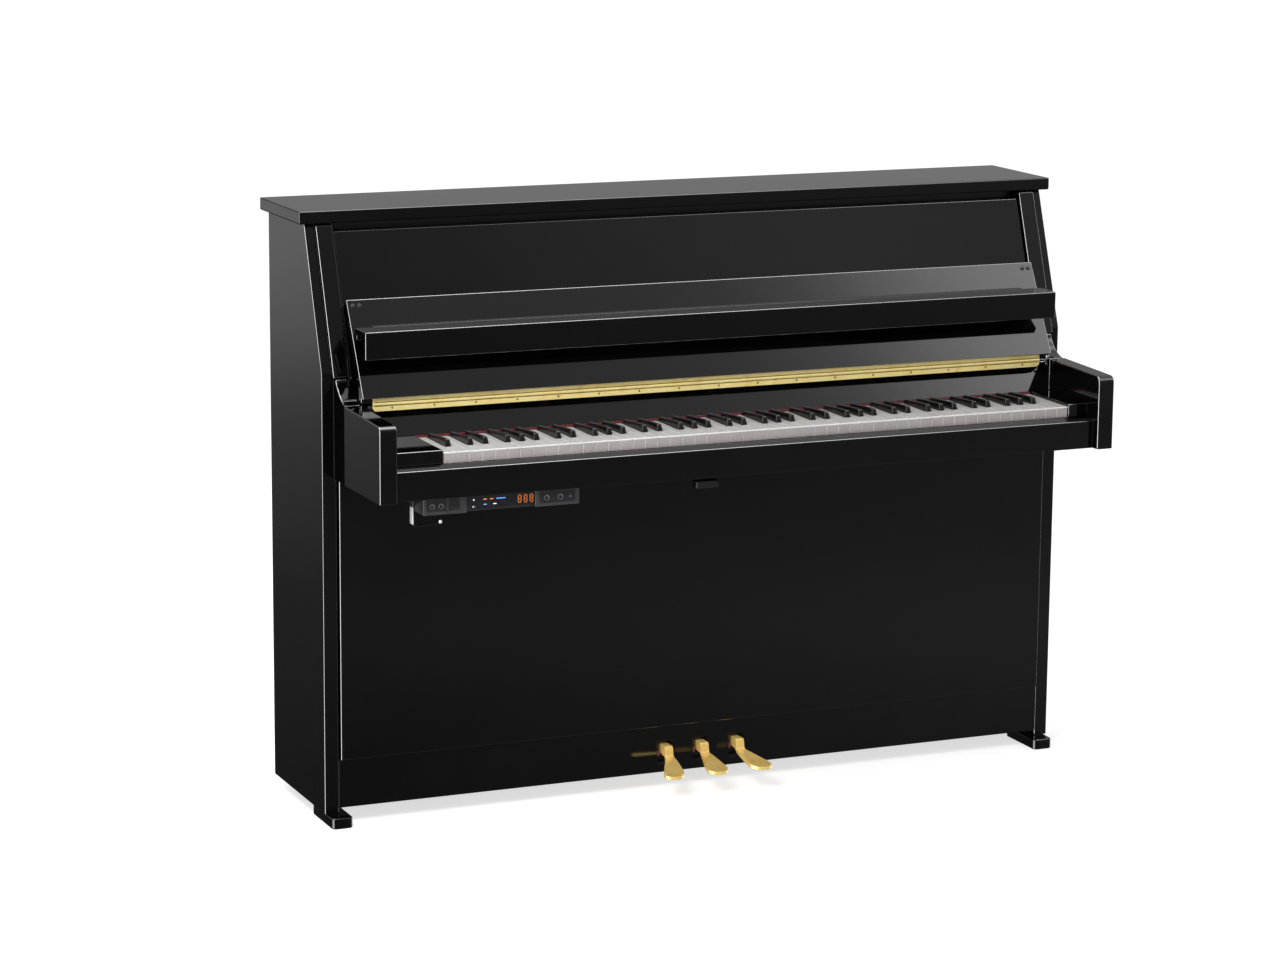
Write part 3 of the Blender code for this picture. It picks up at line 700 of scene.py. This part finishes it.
# ---- fallboard, shelf and hinges ----
def make_fallboard():
    panel = [
        (-0.094, 0.778), (-0.008, 0.94), (0.0053, 0.933), (-0.0706, 0.79), (-0.0705, 0.7692),
        (-0.0835, 0.7692), (-0.0835, 0.778),
    ]
    more = {"body": "fallboard", "nodes": "fallboard", **lacquer(0.0015)}
    board("fallboard_panel", panel, -FALL_HALF, FALL_HALF, **more)
    batten = [(-0.0467, 0.8845), (-0.0467, 0.8962), (-0.029, 0.8962), (-0.035, 0.8845)]
    board("fallboard_batten", batten, -0.643, 0.643, body="fallboard", bevel=0.0008)
    out = Vector((0, -0.883, 0.469))
    spots = [Vector((x, -0.01359, 0.92947)) - out * 0.0002 for x in (-0.67, -0.658, 0.658, 0.67)]
    profile = [(0, 0.004), (0.001, 0.004), (0.0018, 0.0032), (0.0022, 0.0016)]
    turned("fallboard_bumpers", spots, out, profile, "rubber_and_hole_shade", 18, body="fallboard")
    shelf = [
        (-0.1057, 0.8477), (-0.1057, 0.8965), (-0.0482, 0.8965), (-0.0482, 0.8855), (-0.0927, 0.8855),
        (-0.0927, 0.8477),
    ]
    board("shelf_board", shelf, -0.6796, 0.6796, body="music_shelf", nodes="music_shelf", **lacquer(0.0015))
    links = [(*pair(0.656, 0.678, side), -0.056, -0.0484, 0.8775, 0.8853) for side in (-1, 1)]
    boxes("shelf_links", links, "dark_steel", body="music_shelf", bevel=0.0012)


def knuckles(bm, axis, half, width, radius, odd):
    y, z = axis
    count = round(2 * half / width)
    width = 2 * half / count
    for i in range(count):
        if i % 2 == odd:
            x = -half + i * width
            lip = radius * 0.88
            profile = [(0.00015, lip), (0.0006, radius), (width - 0.0006, radius), (width - 0.00015, lip)]
            lathe(bm, (x, y, z), (1, 0, 0), profile, 14)


def make_hinges():
    y, z = FALL_AXIS

    def lower(bm):
        low, high, half = 0.754, z - 0.0006, FALL_HINGE_HALF
        outline = [(-half, high), (-half, low + 0.005), (-half + 0.0044, low), (half - 0.0044, low)]
        outline += [(half, low + 0.005), (half, high)]
        prism(bm, outline, -0.0851, -0.0839, 1)
        knuckles(bm, FALL_AXIS, half, 0.0226, 0.0026, 0)

    piece("fall_hinge_lower", lower, "brass", nodes="fallboard_hinge_lower_leaf", bevel=0.0002, segments=2)

    def upper(bm):
        box(bm, -FALL_HINGE_HALF, FALL_HINGE_HALF, -0.0851, -0.0839, z + 0.0006, 0.7772)
        knuckles(bm, FALL_AXIS, FALL_HINGE_HALF, 0.0226, 0.0026, 1)

    more = {"body": "fallboard", "nodes": "fallboard_hinge_upper_leaf", "bevel": 0.0002, "segments": 2}
    piece("fall_hinge_upper", upper, "brass", **more)

    # Thin dark strips along the hinge, where the barrel meets the leaves, are painted shade in those creases.
    def crease_shade(middle):
        return lambda bm: box(bm, -0.656, 0.656, -0.0853, -0.085, middle - 0.0006, middle + 0.0006)

    piece("fall_hinge_crease_shade_lower", crease_shade(z - 0.0034), "screw_and_crease_shade")
    piece("fall_hinge_crease_shade_upper", crease_shade(z + 0.0034), "screw_and_crease_shade", body="fallboard")

    spots = [(-0.624 + 0.078 * i, -0.0847, 0.7592) for i in range(17)]
    turned("fall_hinge_screw_and_crease_shades", spots, (0, -1, 0), screw_head(0.0019, 0.0007), "screw_and_crease_shade", 14)

    def pins(bm):
        rod(bm, (0.6602, y, z), (0.669, y, z), 0.0015, 14)
        rod(bm, (0.6605, y, z - 0.0045), (0.669, y, z - 0.0045), 0.0013, 14)
        profile = [(0, 0.0012), (0.0007, 0.0026), (0.015, 0.0021), (0.0158, 0.001)]
        lathe(bm, (0.6688, -0.0868, 0.77), (0.42, 0.05, -0.9), profile, 14)
        profile = [(0, 0.0034), (0.001, 0.004), (0.0075, 0.0036), (0.0085, 0.002)]
        lathe(bm, (0.6772, y, 0.7662), (0, 0, 1), profile, 18)

    piece("fallboard_damper", pins, "steel")
    profile = [(0, 0.0036), (0.0008, 0.0044), (0.0062, 0.0044), (0.0078, 0.0026)]
    turned("fallboard_pivot_cap", [(-0.6604, -0.0815, 0.76)], (-1, 0, 0), profile, "plastic", 20)
    y, z = LID_AXIS

    def fixed(bm):
        box(bm, -PLATE_HALF, PLATE_HALF, 0.2624, 0.2636, 1.04, z - 0.0004)
        knuckles(bm, LID_AXIS, PLATE_HALF, 0.03, 0.0022, 0)

    piece("lid_hinge_fixed", fixed, "brass", nodes="lid_hinge_fixed_leaf", bevel=0.0002, segments=2)

    def moving(bm):
        box(bm, -PLATE_HALF, PLATE_HALF, 0.245, 0.264, 1.0662, 1.0672)
        knuckles(bm, LID_AXIS, PLATE_HALF, 0.03, 0.0022, 1)

    more = {"body": "lid", "nodes": "lid_hinge_moving_leaf", "bevel": 0.0002, "segments": 2}
    piece("lid_hinge_moving", moving, "brass", **more)
    spots = [(-0.665 + 0.095 * i, 0.2632, 1.05) for i in range(15)]
    turned("lid_hinge_screw_and_crease_shades", spots, (0, 1, 0), screw_head(0.0024, 0.0008), "screw_and_crease_shade", 14)


# ---- pedals ----
def make_pedals():
    # Along the lever: y, top z, bottom z, half width, share of the sideways sweep, roundness.
    stations = (
        (0.05, 0.083, 0.067, 0.0078, 0, 8), (-0.036, 0.083, 0.062, 0.008, 0, 9),
        (-0.042, 0.0822, 0.0585, 0.0082, 0, 9), (-0.045, 0.0645, 0.0575, 0.0088, 0.02, 9),
        (-0.06, 0.0605, 0.053, 0.012, 0.2, 10), (-0.083, 0.054, 0.046, 0.0172, 0.58, 10),
        (-0.101, 0.0495, 0.0415, 0.02, 0.88, 10), (-0.111, 0.0473, 0.0402, 0.0185, 1, 10),
        (-0.1165, 0.0463, 0.04, 0.0125, 1, 9), (-0.1185, 0.0455, 0.0406, 0.006, 1, 6),
    )
    ys = [-s[0] for s in stations]
    at = np.unique(np.concatenate([np.linspace(a, b, 7) for a, b in zip(ys, ys[1:])]))
    columns = [pchip(ys, [s[k] for s in stations], at) for k in range(1, 6)]
    # The toe closes in a round tip.
    tip = np.clip((at - 0.0985) / 0.02, 0, 1)
    columns[2] = np.where(tip > 0, 0.02 * np.sqrt(np.clip(1 - tip**2, 0.012, 1)), columns[2])
    for hand, side in (("left", -1), ("middle", 0), ("right", 1)):

        def build(bm, side=side):
            sections = []
            for back, top, bottom, half, sweep, power in zip(at, *columns):
                x, middle, rise = side * (PEDAL_X + 0.017 * sweep), (top + bottom) / 2, (top - bottom) / 2
                ring = []
                for i in range(32):
                    turn = 2 * math.pi * (i + 0.5) / 32
                    c, s = math.cos(turn), math.sin(turn)
                    u = math.copysign(abs(c) ** (2 / power), c) * half
                    v = math.copysign(abs(s) ** (2 / power), s) * rise
                    ring.append((x + u, -back, middle + v))
                sections.append(ring)
            loft(bm, sections)

        body = f"pedal_{hand}"
        piece(f"{body}_lever", build, "brass_pedal", body=body, nodes=body, smooth=60)


# ---- practice unit under the keybed ----
def make_unit():
    ends = [(-0.622, -0.5425, UNIT_FRONT, -0.165, 0.5955, UNIT_TOP)]
    ends += [(-0.4155, -0.333, UNIT_FRONT, -0.165, 0.596, UNIT_TOP)]
    boxes("unit_blocks", ends, "grey_plastic", bevel=0.0018, segments=4)
    middle = [(-0.5423, -0.4157, -0.231, -0.165, 0.597, UNIT_TOP)]
    boxes("unit_case", middle, "plastic", nodes="control_box", bevel=0.0008)
    spans = ((-0.617, -0.58), (-0.577, -0.555), (-0.409, -0.341))
    insets = [(x0, x1, -0.2349, -0.234, 0.6015, 0.6225) for x0, x1 in spans]
    boxes("unit_insets", insets, "plastic", bevel=0.0004)
    window = [(-0.5395, -0.4175, -0.23145, -0.2305, 0.601, 0.624)]
    boxes("unit_window", window, "window", bevel=0.0004)
    small, large = (0.6105, 0.0048), (0.611, 0.0052)
    jacks = ((-0.6065, *small), (-0.59, *small), (-0.395, *large), (-0.3695, *large))

    def rings(bm):
        for x, z, radius in jacks:
            profile = [(0, radius), (0.0006, radius), (0.0008, radius * 0.86), (0.0008, radius * 0.6)]
            lathe(bm, (x, -0.2347, z), (0, -1, 0), [*profile, (0.0001, radius * 0.55)], 24)
        rod(bm, (-0.351, -0.2347, 0.611), (-0.351, -0.2353, 0.611), 0.0022, 18)

    piece("unit_socket_rings", rings, "steel")

    # Flat dark discs and a dark box fill the jack and USB openings: painted shade in place of hollow sockets.
    def holes(bm):
        for x, z, radius in jacks:
            rod(bm, (x, UNIT_FRONT, z), (x, -0.2352, z), round(radius * 0.54, 4), 18)
        box(bm, -0.5735, -0.5585, -0.2352, UNIT_FRONT, 0.6075, 0.6135)

    piece("unit_socket_hole_shade", holes, "rubber_and_hole_shade")

    def lamp(colour, spots):
        solids = []
        for x, z, wide, high in spots:
            solids.append((x - wide / 2, x + wide / 2, -0.2317, -0.2314, z - high / 2, z + high / 2))
        boxes(f"unit_lamps_{colour}", solids, f"lamp_{colour}")

    amber = [(-0.508, 0.6165, 0.006, 0.0016), (-0.496, 0.6165, 0.006, 0.0016)]
    for i in range(3):
        x = -0.444 + 0.011 * i
        amber += [(x, 0.606, 0.0036, 0.0007), (x, 0.6125, 0.0036, 0.0007), (x, 0.619, 0.0036, 0.0007)]
        for side in (-0.0026, 0.0026):
            amber += [(x + side, 0.6094, 0.0007, 0.0048), (x + side, 0.6157, 0.0007, 0.0048)]
    lamp("amber", amber)
    lamp("blue", [(-0.479, 0.6165, 0.017, 0.0016), (-0.508, 0.6075, 0.006, 0.0016)])
    lamp("white", [(-0.529, 0.6165, 0.0022, 0.0022), (-0.49, 0.6075, 0.006, 0.0014)])
    profile = [(0, 0.003), (0.0042, 0.003), (0.0049, 0.0024), (0.005, 0.0012)]
    more = {"body": "power_button", "nodes": "power_button"}
    turned("unit_button", [(-0.528, -0.2278, 0.6045)], (0, -1, 0), profile, "steel", 24, **more)
    hook = [
        (-0.641, UNIT_TOP), (-0.6395, 0.579), (-0.6375, 0.5767), (-0.6345, 0.5758), (-0.5945, 0.5778),
        (-0.5905, 0.58), (-0.5895, 0.5855), (-0.592, 0.586), (-0.5932, 0.5818), (-0.5952, 0.5805),
        (-0.634, 0.5785), (-0.6362, 0.5797), (-0.637, 0.613), (-0.624, 0.624), (-0.624, UNIT_TOP),
    ]
    more = {"nodes": "headphone_hook", "bevel": 0.0005}
    piece("unit_hook", lambda bm: prism(bm, hook, -0.232, -0.22, 1), "dark_steel", **more)

    # The bright zinc strip down the hook's left side and the bright zinc knob cap are painted highlights on
    # the dark hook.
    def hook_painted_highlights(bm):
        box(bm, -0.6414, -0.6396, -0.2324, -0.2196, 0.582, 0.612)
        profile = [(0, 0.0022), (0.001, 0.0031), (0.003, 0.0031), (0.004, 0.002)]
        lathe(bm, (-0.5908, -0.231, 0.5835), (0, -1, 0), profile, 20)

    piece("unit_hook_painted_highlights", hook_painted_highlights, "highlight_zinc", bevel=0.0004)


# ---- action, plate, strings and back ----
def hammer_wood(bm, x):
    box(bm, x - 0.0042, x + 0.0042, 0.0702, 0.0918, 0.7702, 0.7898)
    rod(bm, (x, 0.076, 0.789), (x, 0.076, 0.895), 0.0024, 10)
    head = [(0.0665, 0.8975), (0.0665, 0.9085), (0.08, 0.9052), (0.08, 0.9008)]
    prism(bm, head, x - 0.0038, x + 0.0038, 0)


def hammer_felt(bm, x):
    outline = []
    for i in range(20):
        turn = math.radians(-140 + 280 * i / 19)
        y, z = 0.079 + 0.0088 * math.cos(turn), 0.903 + 0.0098 * math.sin(turn)
        outline.append((y, z))
    inner = [(0.0705, 0.9078), (0.0801, 0.9056), (0.0801, 0.9004), (0.0705, 0.8982)]
    prism(bm, outline + inner, x - 0.0043, x + 0.0043, 0)


def damper(bm, x, low=0.794):
    rod(bm, (x, 0.114, low), (x, 0.114, 0.864), 0.0013, 8)
    box(bm, x - 0.004, x + 0.004, 0.112, 0.12, 0.838, 0.862)


def damper_felt(bm, x):
    outline = [(0.1202, 0.8352), (0.1202, 0.8648), (0.1255, 0.8648)]
    outline += [(0.1283, 0.86), (0.1283, 0.84), (0.1255, 0.8352)]
    prism(bm, outline, x - 0.0043, x + 0.0043, 0)


def wippen(bm, x, heel=0.7085):
    box(bm, x - 0.0045, x + 0.0045, 0.05, 0.104, 0.722, 0.734)
    box(bm, x - 0.0045, x + 0.0045, 0.062, 0.078, heel, 0.7222)
    box(bm, x - 0.003, x + 0.003, 0.07, 0.076, 0.7338, 0.764)


def at_notes(build, numbers, **more):
    def all_of(bm):
        for number in numbers:
            build(bm, note_x(number), **more)

    return all_of


def make_action():
    rails = [
        (-0.64, 0.68, 0.098, 0.11, 0.76, 0.79), (-0.64, 0.68, 0.05, 0.06, 0.862, 0.876),
        (-0.65, -0.638, 0.05, 0.11, BED_TOP, 0.876), (0.669, 0.681, 0.05, 0.11, BED_TOP, 0.876),
    ]
    crate("action_rails", rails, "maple_x", nodes="action_frame", bevel=0.0012)
    boxes("hammer_rest_felt", [(-0.63, 0.665, 0.0601, 0.064, 0.863, 0.875)], "felt_green", bevel=0.0008)
    spans = {"bass": range(0, FIRST), "treble": range(FIRST + 1, 88)}
    for part, span in spans.items():
        piece(f"hammer_woods_{part}", at_notes(hammer_wood, span), "maple_z", nodes=f"hammers_{part}")
        piece(f"hammer_felts_{part}", at_notes(hammer_felt, span), "felt_white")
    piece("wippens_bass", at_notes(wippen, spans["bass"]), "maple_y")
    piece("wippens_treble", at_notes(wippen, range(FIRST + 12, 88)), "maple_y")
    # Over the moving keys of the octave the heels end higher, because their capstans rise to meet them.
    piece("wippens_octave", at_notes(wippen, range(FIRST + 1, FIRST + 12), heel=0.7128), "maple_y")
    middle = [FIRST]
    piece("hammer_wood_c4", at_notes(hammer_wood, middle), "maple_z", body="hammer_c4", nodes="hammer_c4")
    piece("hammer_felt_c4", at_notes(hammer_felt, middle), "felt_white", body="hammer_c4")
    more = {"body": "wippen_c4", "nodes": "wippen_c4", "bevel": 0.0004}
    piece("wippen_wood_c4", at_notes(wippen, middle), "maple_y", **more)
    others = [n for n in range(66) if n != FIRST]

    def damper_woods(bm):
        box(bm, note_x(0) - 0.004, note_x(65) + 0.004, 0.1115, 0.1165, 0.7915, 0.7948)
        for number in others:
            damper(bm, note_x(number))

    piece("damper_woods", damper_woods, "maple_x", nodes="dampers")
    piece("damper_felts", at_notes(damper_felt, others), "felt_white")
    more = {"body": "damper_c4", "nodes": "damper_c4"}
    piece("damper_wood_c4", at_notes(damper, middle, low=0.7956), "maple_z", **more)
    piece("damper_felt_c4", at_notes(damper_felt, middle), "felt_white", body="damper_c4")


def make_back():
    bays = [(0.345 * i - 0.332, 0.345 * i - 0.013, 0.13, 0.16, 0.17, 0.85) for i in range(-1, 3)]
    plate = [(-PLATE_HALF, PLATE_HALF, 0.14, 0.152, 0.06, 1.04)]
    crate("plate_casting", plate, "iron", bays, nodes="iron_plate", bevel=0.003, segments=4)
    block = [(-PLATE_HALF, PLATE_HALF, 0.1524, 0.19, 0.9005, 1.04)]
    crate("pin_block_board", block, "beech_x", nodes="pin_block", bevel=0.001)
    make_strings()
    panel = [(-PLATE_HALF, PLATE_HALF, 0.165, 0.174, 0.06, 0.897)]
    boxes("soundboard_panel", panel, "spruce_pale_e", nodes="soundboard", bevel=0.0008)

    def ribs(bm):
        low, high, side = 0.075, 0.885, 0.69
        centre, half = (low + high) / 2, 0.011
        for middle in range(-5, 6):
            ends = []
            for z in (low, high):
                x = middle * 0.2 + (z - centre)
                if abs(x) > side:
                    x = math.copysign(side, x)
                    z = centre + x - middle * 0.2
                ends.append(Vector((x, z)))
            way = (ends[1] - ends[0]).normalized()
            across = Vector((way.y, -way.x)) * half
            taper = min(0.07, (ends[1] - ends[0]).length / 3)
            a, b = ends[0] + way * taper, ends[1] - way * taper
            sections = []
            for spot, deep in ((ends[0], 0.178), (a, 0.192), (b, 0.192), (ends[1], 0.178)):
                edge, other = spot + across, spot - across
                corners = [(edge, 0.1738), (edge, deep), (other, deep), (other, 0.1738)]
                sections.append([(p.x, y, p.y) for p, y in corners])
            loft(bm, sections)

    piece("soundboard_ribs", ribs, "spruce_d", bevel=0.0012)
    beams = [(-FRAME_HALF, FRAME_HALF, 0.1935, 0.262, 0.925, 1.065)]
    beams += [(-FRAME_HALF, FRAME_HALF, 0.2, 0.262, 0.058, 0.135)]
    boxes("back_beams", beams, "spruce_x", nodes="back_frame", bevel=0.003)
    posts = [(x - 0.0355, x + 0.0355, 0.2, 0.2612, 0.1352, 0.9248) for x in POSTS]
    posts += [(*pair(0.642, 0.706, side), 0.205, 0.262, 0, 0.0578) for side in (-1, 1)]
    boxes("back_posts", posts, "spruce_z", bevel=0.003)
    spots = [(x, 0.2617, z) for x in POSTS for z in (0.95, 1.015, 0.097)]
    profile = [(0, 0.012), (0.0012, 0.0118), (0.0014, 0.007), (0.0034, 0.0062), (0.0044, 0.003)]
    turned("back_bolts", spots, (0, 1, 0), profile, "steel", 24)


def make_strings():
    def pins(bm):
        for number in range(88):
            for k in range(1 if number < 10 else 2 if number < 28 else 3):
                x = note_x(number) - 0.004 + 0.004 * k + (0.025 if number < 28 else 0)
                z = 0.94 + 0.026 * k + 0.006 * math.sin(number * 0.9)
                profile = [(0, 0.0034), (0.016, 0.0034), (0.0165, 0.0026), (0.022, 0.0024)]
                lathe(bm, (x, 0.1402, z), (0, -1, 0), profile, 8)

    piece("tuning_pins", pins, "steel")

    def string(bm, x0, x1, y, z1, radius):
        rod(bm, (x0, y, 0.93), (x1, y, z1), radius, 5)

    def treble(bm):
        for number in range(28, 88):
            foot = 0.11 + 0.64 * ((number - 28) / 60) ** 0.8
            for k in range(3):
                x = note_x(number) - 0.0022 + 0.0022 * k
                string(bm, x, x - 0.1 * (0.93 - foot), 0.1365, foot, 0.0005)

    def bass(bm):
        for number in range(0, 28):
            foot = 0.095 + 0.0035 * number
            for k in range(1 if number < 10 else 2):
                x = note_x(number) - 0.0022 + 0.0044 * k
                string(bm, x, x + 0.46 * (0.93 - foot), 0.1318, foot, 0.0011 - 0.00002 * number)

    piece("strings_treble", treble, "steel")
    piece("strings_bass", bass, "copper")


# ---- stage, light and camera ----
def make_floor():
    mesh = bpy.data.meshes.new("floor")
    corners = [(x * FLOOR_REACH, y * FLOOR_REACH, -0.0002) for x, y in ((-1, -1), (1, -1), (1, 1), (-1, 1))]
    mesh.from_pydata(corners, [], [(0, 1, 2, 3)])
    floor = bpy.data.objects.new("floor", mesh)
    bpy.context.scene.collection.objects.link(floor)
    look = Look("floor", "plastic", roughness=0.9, specular_ior_level=0, emission_strength=0.66)
    look.shader.inputs["Emission Color"].default_value = (1, 1, 1, 1)
    look.colour(look.noise(3), (0.62, 0.62, 0.62), (0.65, 0.65, 0.65))
    mesh.materials.append(look.material)
    floor.visible_glossy = False


class Sky:
    """Node helpers for the studio that polished surfaces mirror. It depends only on the direction."""

    def __init__(self, tree):
        self.nodes, self.links = tree.nodes, tree.links

    def plug(self, socket, value):
        if isinstance(value, (int, float)):
            socket.default_value = value
        else:
            self.links.new(value, socket)

    def math(self, kind, one, other):
        node = self.nodes.new("ShaderNodeMath")
        node.operation = kind
        self.plug(node.inputs[0], one)
        self.plug(node.inputs[1], other)
        return node.outputs[0]

    def curve(self, value, *points):
        """Piecewise linear in value, from pairs of value and result."""
        low, high = points[0][0], points[-1][0]
        top = max(p[1] for p in points)
        node = self.nodes.new("ShaderNodeValToRGB")
        fill_ramp(node, [((place - low) / (high - low), (result / top,) * 3) for place, result in points])
        scaled = self.math("MULTIPLY_ADD", value, 1 / (high - low))
        scaled.node.inputs[2].default_value = -low / (high - low)
        self.links.new(scaled, node.inputs["Fac"])
        return self.math("MULTIPLY", node.outputs["Color"], top)

    def mix(self, factor, one, other):
        node = self.nodes.new("ShaderNodeMix")
        self.links.new(factor, node.inputs["Factor"])
        self.plug(node.inputs[2], one)
        self.plug(node.inputs[3], other)
        return node.outputs[0]


def make_world():
    world = bpy.data.worlds.new("studio")
    bpy.context.scene.world = world
    world.use_nodes = True
    sky = Sky(world.node_tree)
    background = world.node_tree.nodes["Background"]
    coords = sky.nodes.new("ShaderNodeTexCoord")
    parts = sky.nodes.new("ShaderNodeSeparateXYZ")
    sky.links.new(coords.outputs["Generated"], parts.inputs[0])
    x, y, z = parts.outputs
    turn = sky.math("ARCTAN2", x, sky.math("MULTIPLY", y, -1))
    degrees = sky.math("MULTIPLY", turn, 180 / math.pi)
    rear = sky.curve(
        z,
        (-1, 0.04), (-0.276, 0.04), (-0.225, 0.07), (-0.182, 0.165), (-0.156, 0.42), (-0.134, 0.55),
        (0, 0.5), (0.12, 0.31), (0.25, 0.31), (0.6, 0.6), (0.8, 0.9), (1, 0.9),
    )
    front = sky.curve(
        z,
        (-1, 0.05), (-0.4, 0.1), (-0.276, 0.115), (-0.258, 0.155), (-0.237, 0.235), (-0.206, 0.165),
        (-0.16, 0.125), (-0.126, 0.165), (0.3, 0.22), (0.45, 0.25), (0.67, 0.42), (0.8, 0.7),
        (1, 0.9),
    )
    swing = sky.curve(degrees, (-180, 0.9), (0, 0.75), (19.5, 0.8), (24, 1), (29, 1.25), (60, 1.25), (180, 1))
    front = sky.math("MULTIPLY", front, swing)
    ahead = sky.curve(y, (-1, 1), (-0.2, 1), (0.2, 0), (1, 0))
    glow = sky.mix(ahead, rear, front)
    warm = sky.curve(degrees, (-180, 0), (22, 0), (30, 0.2), (34, 0.1), (60, 0.1), (80, 0), (180, 0))
    height = sky.curve(z, (-1, 0), (0.2, 0), (0.4, 1), (0.52, 1), (0.6, 0), (1, 0))
    warm = sky.math("MULTIPLY", warm, height)
    soft = sky.curve(
        degrees,
        (-180, 0), (29, 0), (32, 0.06), (34, 0.3), (35.2, 0.7), (36.6, 1.8), (38.4, 3.3),
        (41, 4), (66, 4), (80, 0), (180, 0),
    )
    height = sky.curve(z, (-1, 0), (0.5, 0), (0.6, 1), (0.71, 1), (0.8, 0.42), (1, 0.2))
    soft = sky.math("MULTIPLY", soft, height)
    over = sky.curve(z, (-1, 0), (0.86, 0), (0.895, 8), (0.95, 8), (1, 3))
    level = sky.curve(z, (-1, 0), (-0.5, 0), (-0.34, 1), (0.45, 1), (0.6, 0), (1, 0))
    cards = sky.curve(
        degrees,
        (-180, 0), (-106, 0), (-98, 8), (-60, 8), (-53, 0), (97, 0),
        (103, 4), (121, 4), (127, 0), (180, 0),
    )
    cards = sky.math("MULTIPLY", cards, level)
    for extra in (warm, soft, over, cards):
        glow = sky.math("ADD", glow, extra)
    path = sky.nodes.new("ShaderNodeLightPath")
    shade = sky.mix(path.outputs["Is Glossy Ray"], ROOM_LIGHT, glow)
    shade = sky.mix(path.outputs["Is Camera Ray"], shade, 1)
    sky.links.new(shade, background.inputs["Color"])


def make_lights():
    for name, place, size, power in (
        ("key_light", (-1.5, -1.3, 2), 0.9, 30),
        ("fill_light", (2.8, -2.6, 2.6), 2, 8),
        ("back_light", (-0.6, 3, 2.2), 2, 30),
    ):
        data = bpy.data.lights.new(name, "AREA")
        data.shape = "DISK"
        data.size = size
        data.energy = power
        light = bpy.data.objects.new(name, data)
        light.location = place
        light.rotation_euler = (Vector((0, 0, 0.65)) - Vector(place)).to_track_quat("-Z", "Y").to_euler()
        light.visible_glossy = False
        light.visible_camera = False
        bpy.context.scene.collection.objects.link(light)


def make_camera():
    data = bpy.data.cameras.new("camera")
    data.sensor_width = 36
    data.lens = 105.3
    data.clip_end = 200
    camera = bpy.data.objects.new("camera", data)
    bpy.context.scene.collection.objects.link(camera)
    yaw, pitch, roll = (math.radians(a) for a in (23.62, 11.43, 0.48))
    ahead = Vector((math.sin(yaw) * math.cos(pitch), math.cos(yaw) * math.cos(pitch), -math.sin(pitch)))
    right = Vector((math.cos(yaw), -math.sin(yaw), 0))
    up = right.cross(ahead)
    across = right * math.cos(roll) + up * math.sin(roll)
    above = up * math.cos(roll) - right * math.sin(roll)
    turn = Matrix((across, above, -ahead)).transposed()
    camera.matrix_world = Matrix.Translation((-2.792, -6.119, 1.928)) @ turn.to_4x4()
    bpy.context.scene.camera = camera


make_looks()
for make in (make_cabinet, make_surround, make_keys, make_fallboard, make_hinges, make_pedals, make_unit):
    make()
for make in (make_action, make_back, make_floor, make_world, make_lights, make_camera):
    make()
bpy.context.scene.view_settings.view_transform = "Standard"
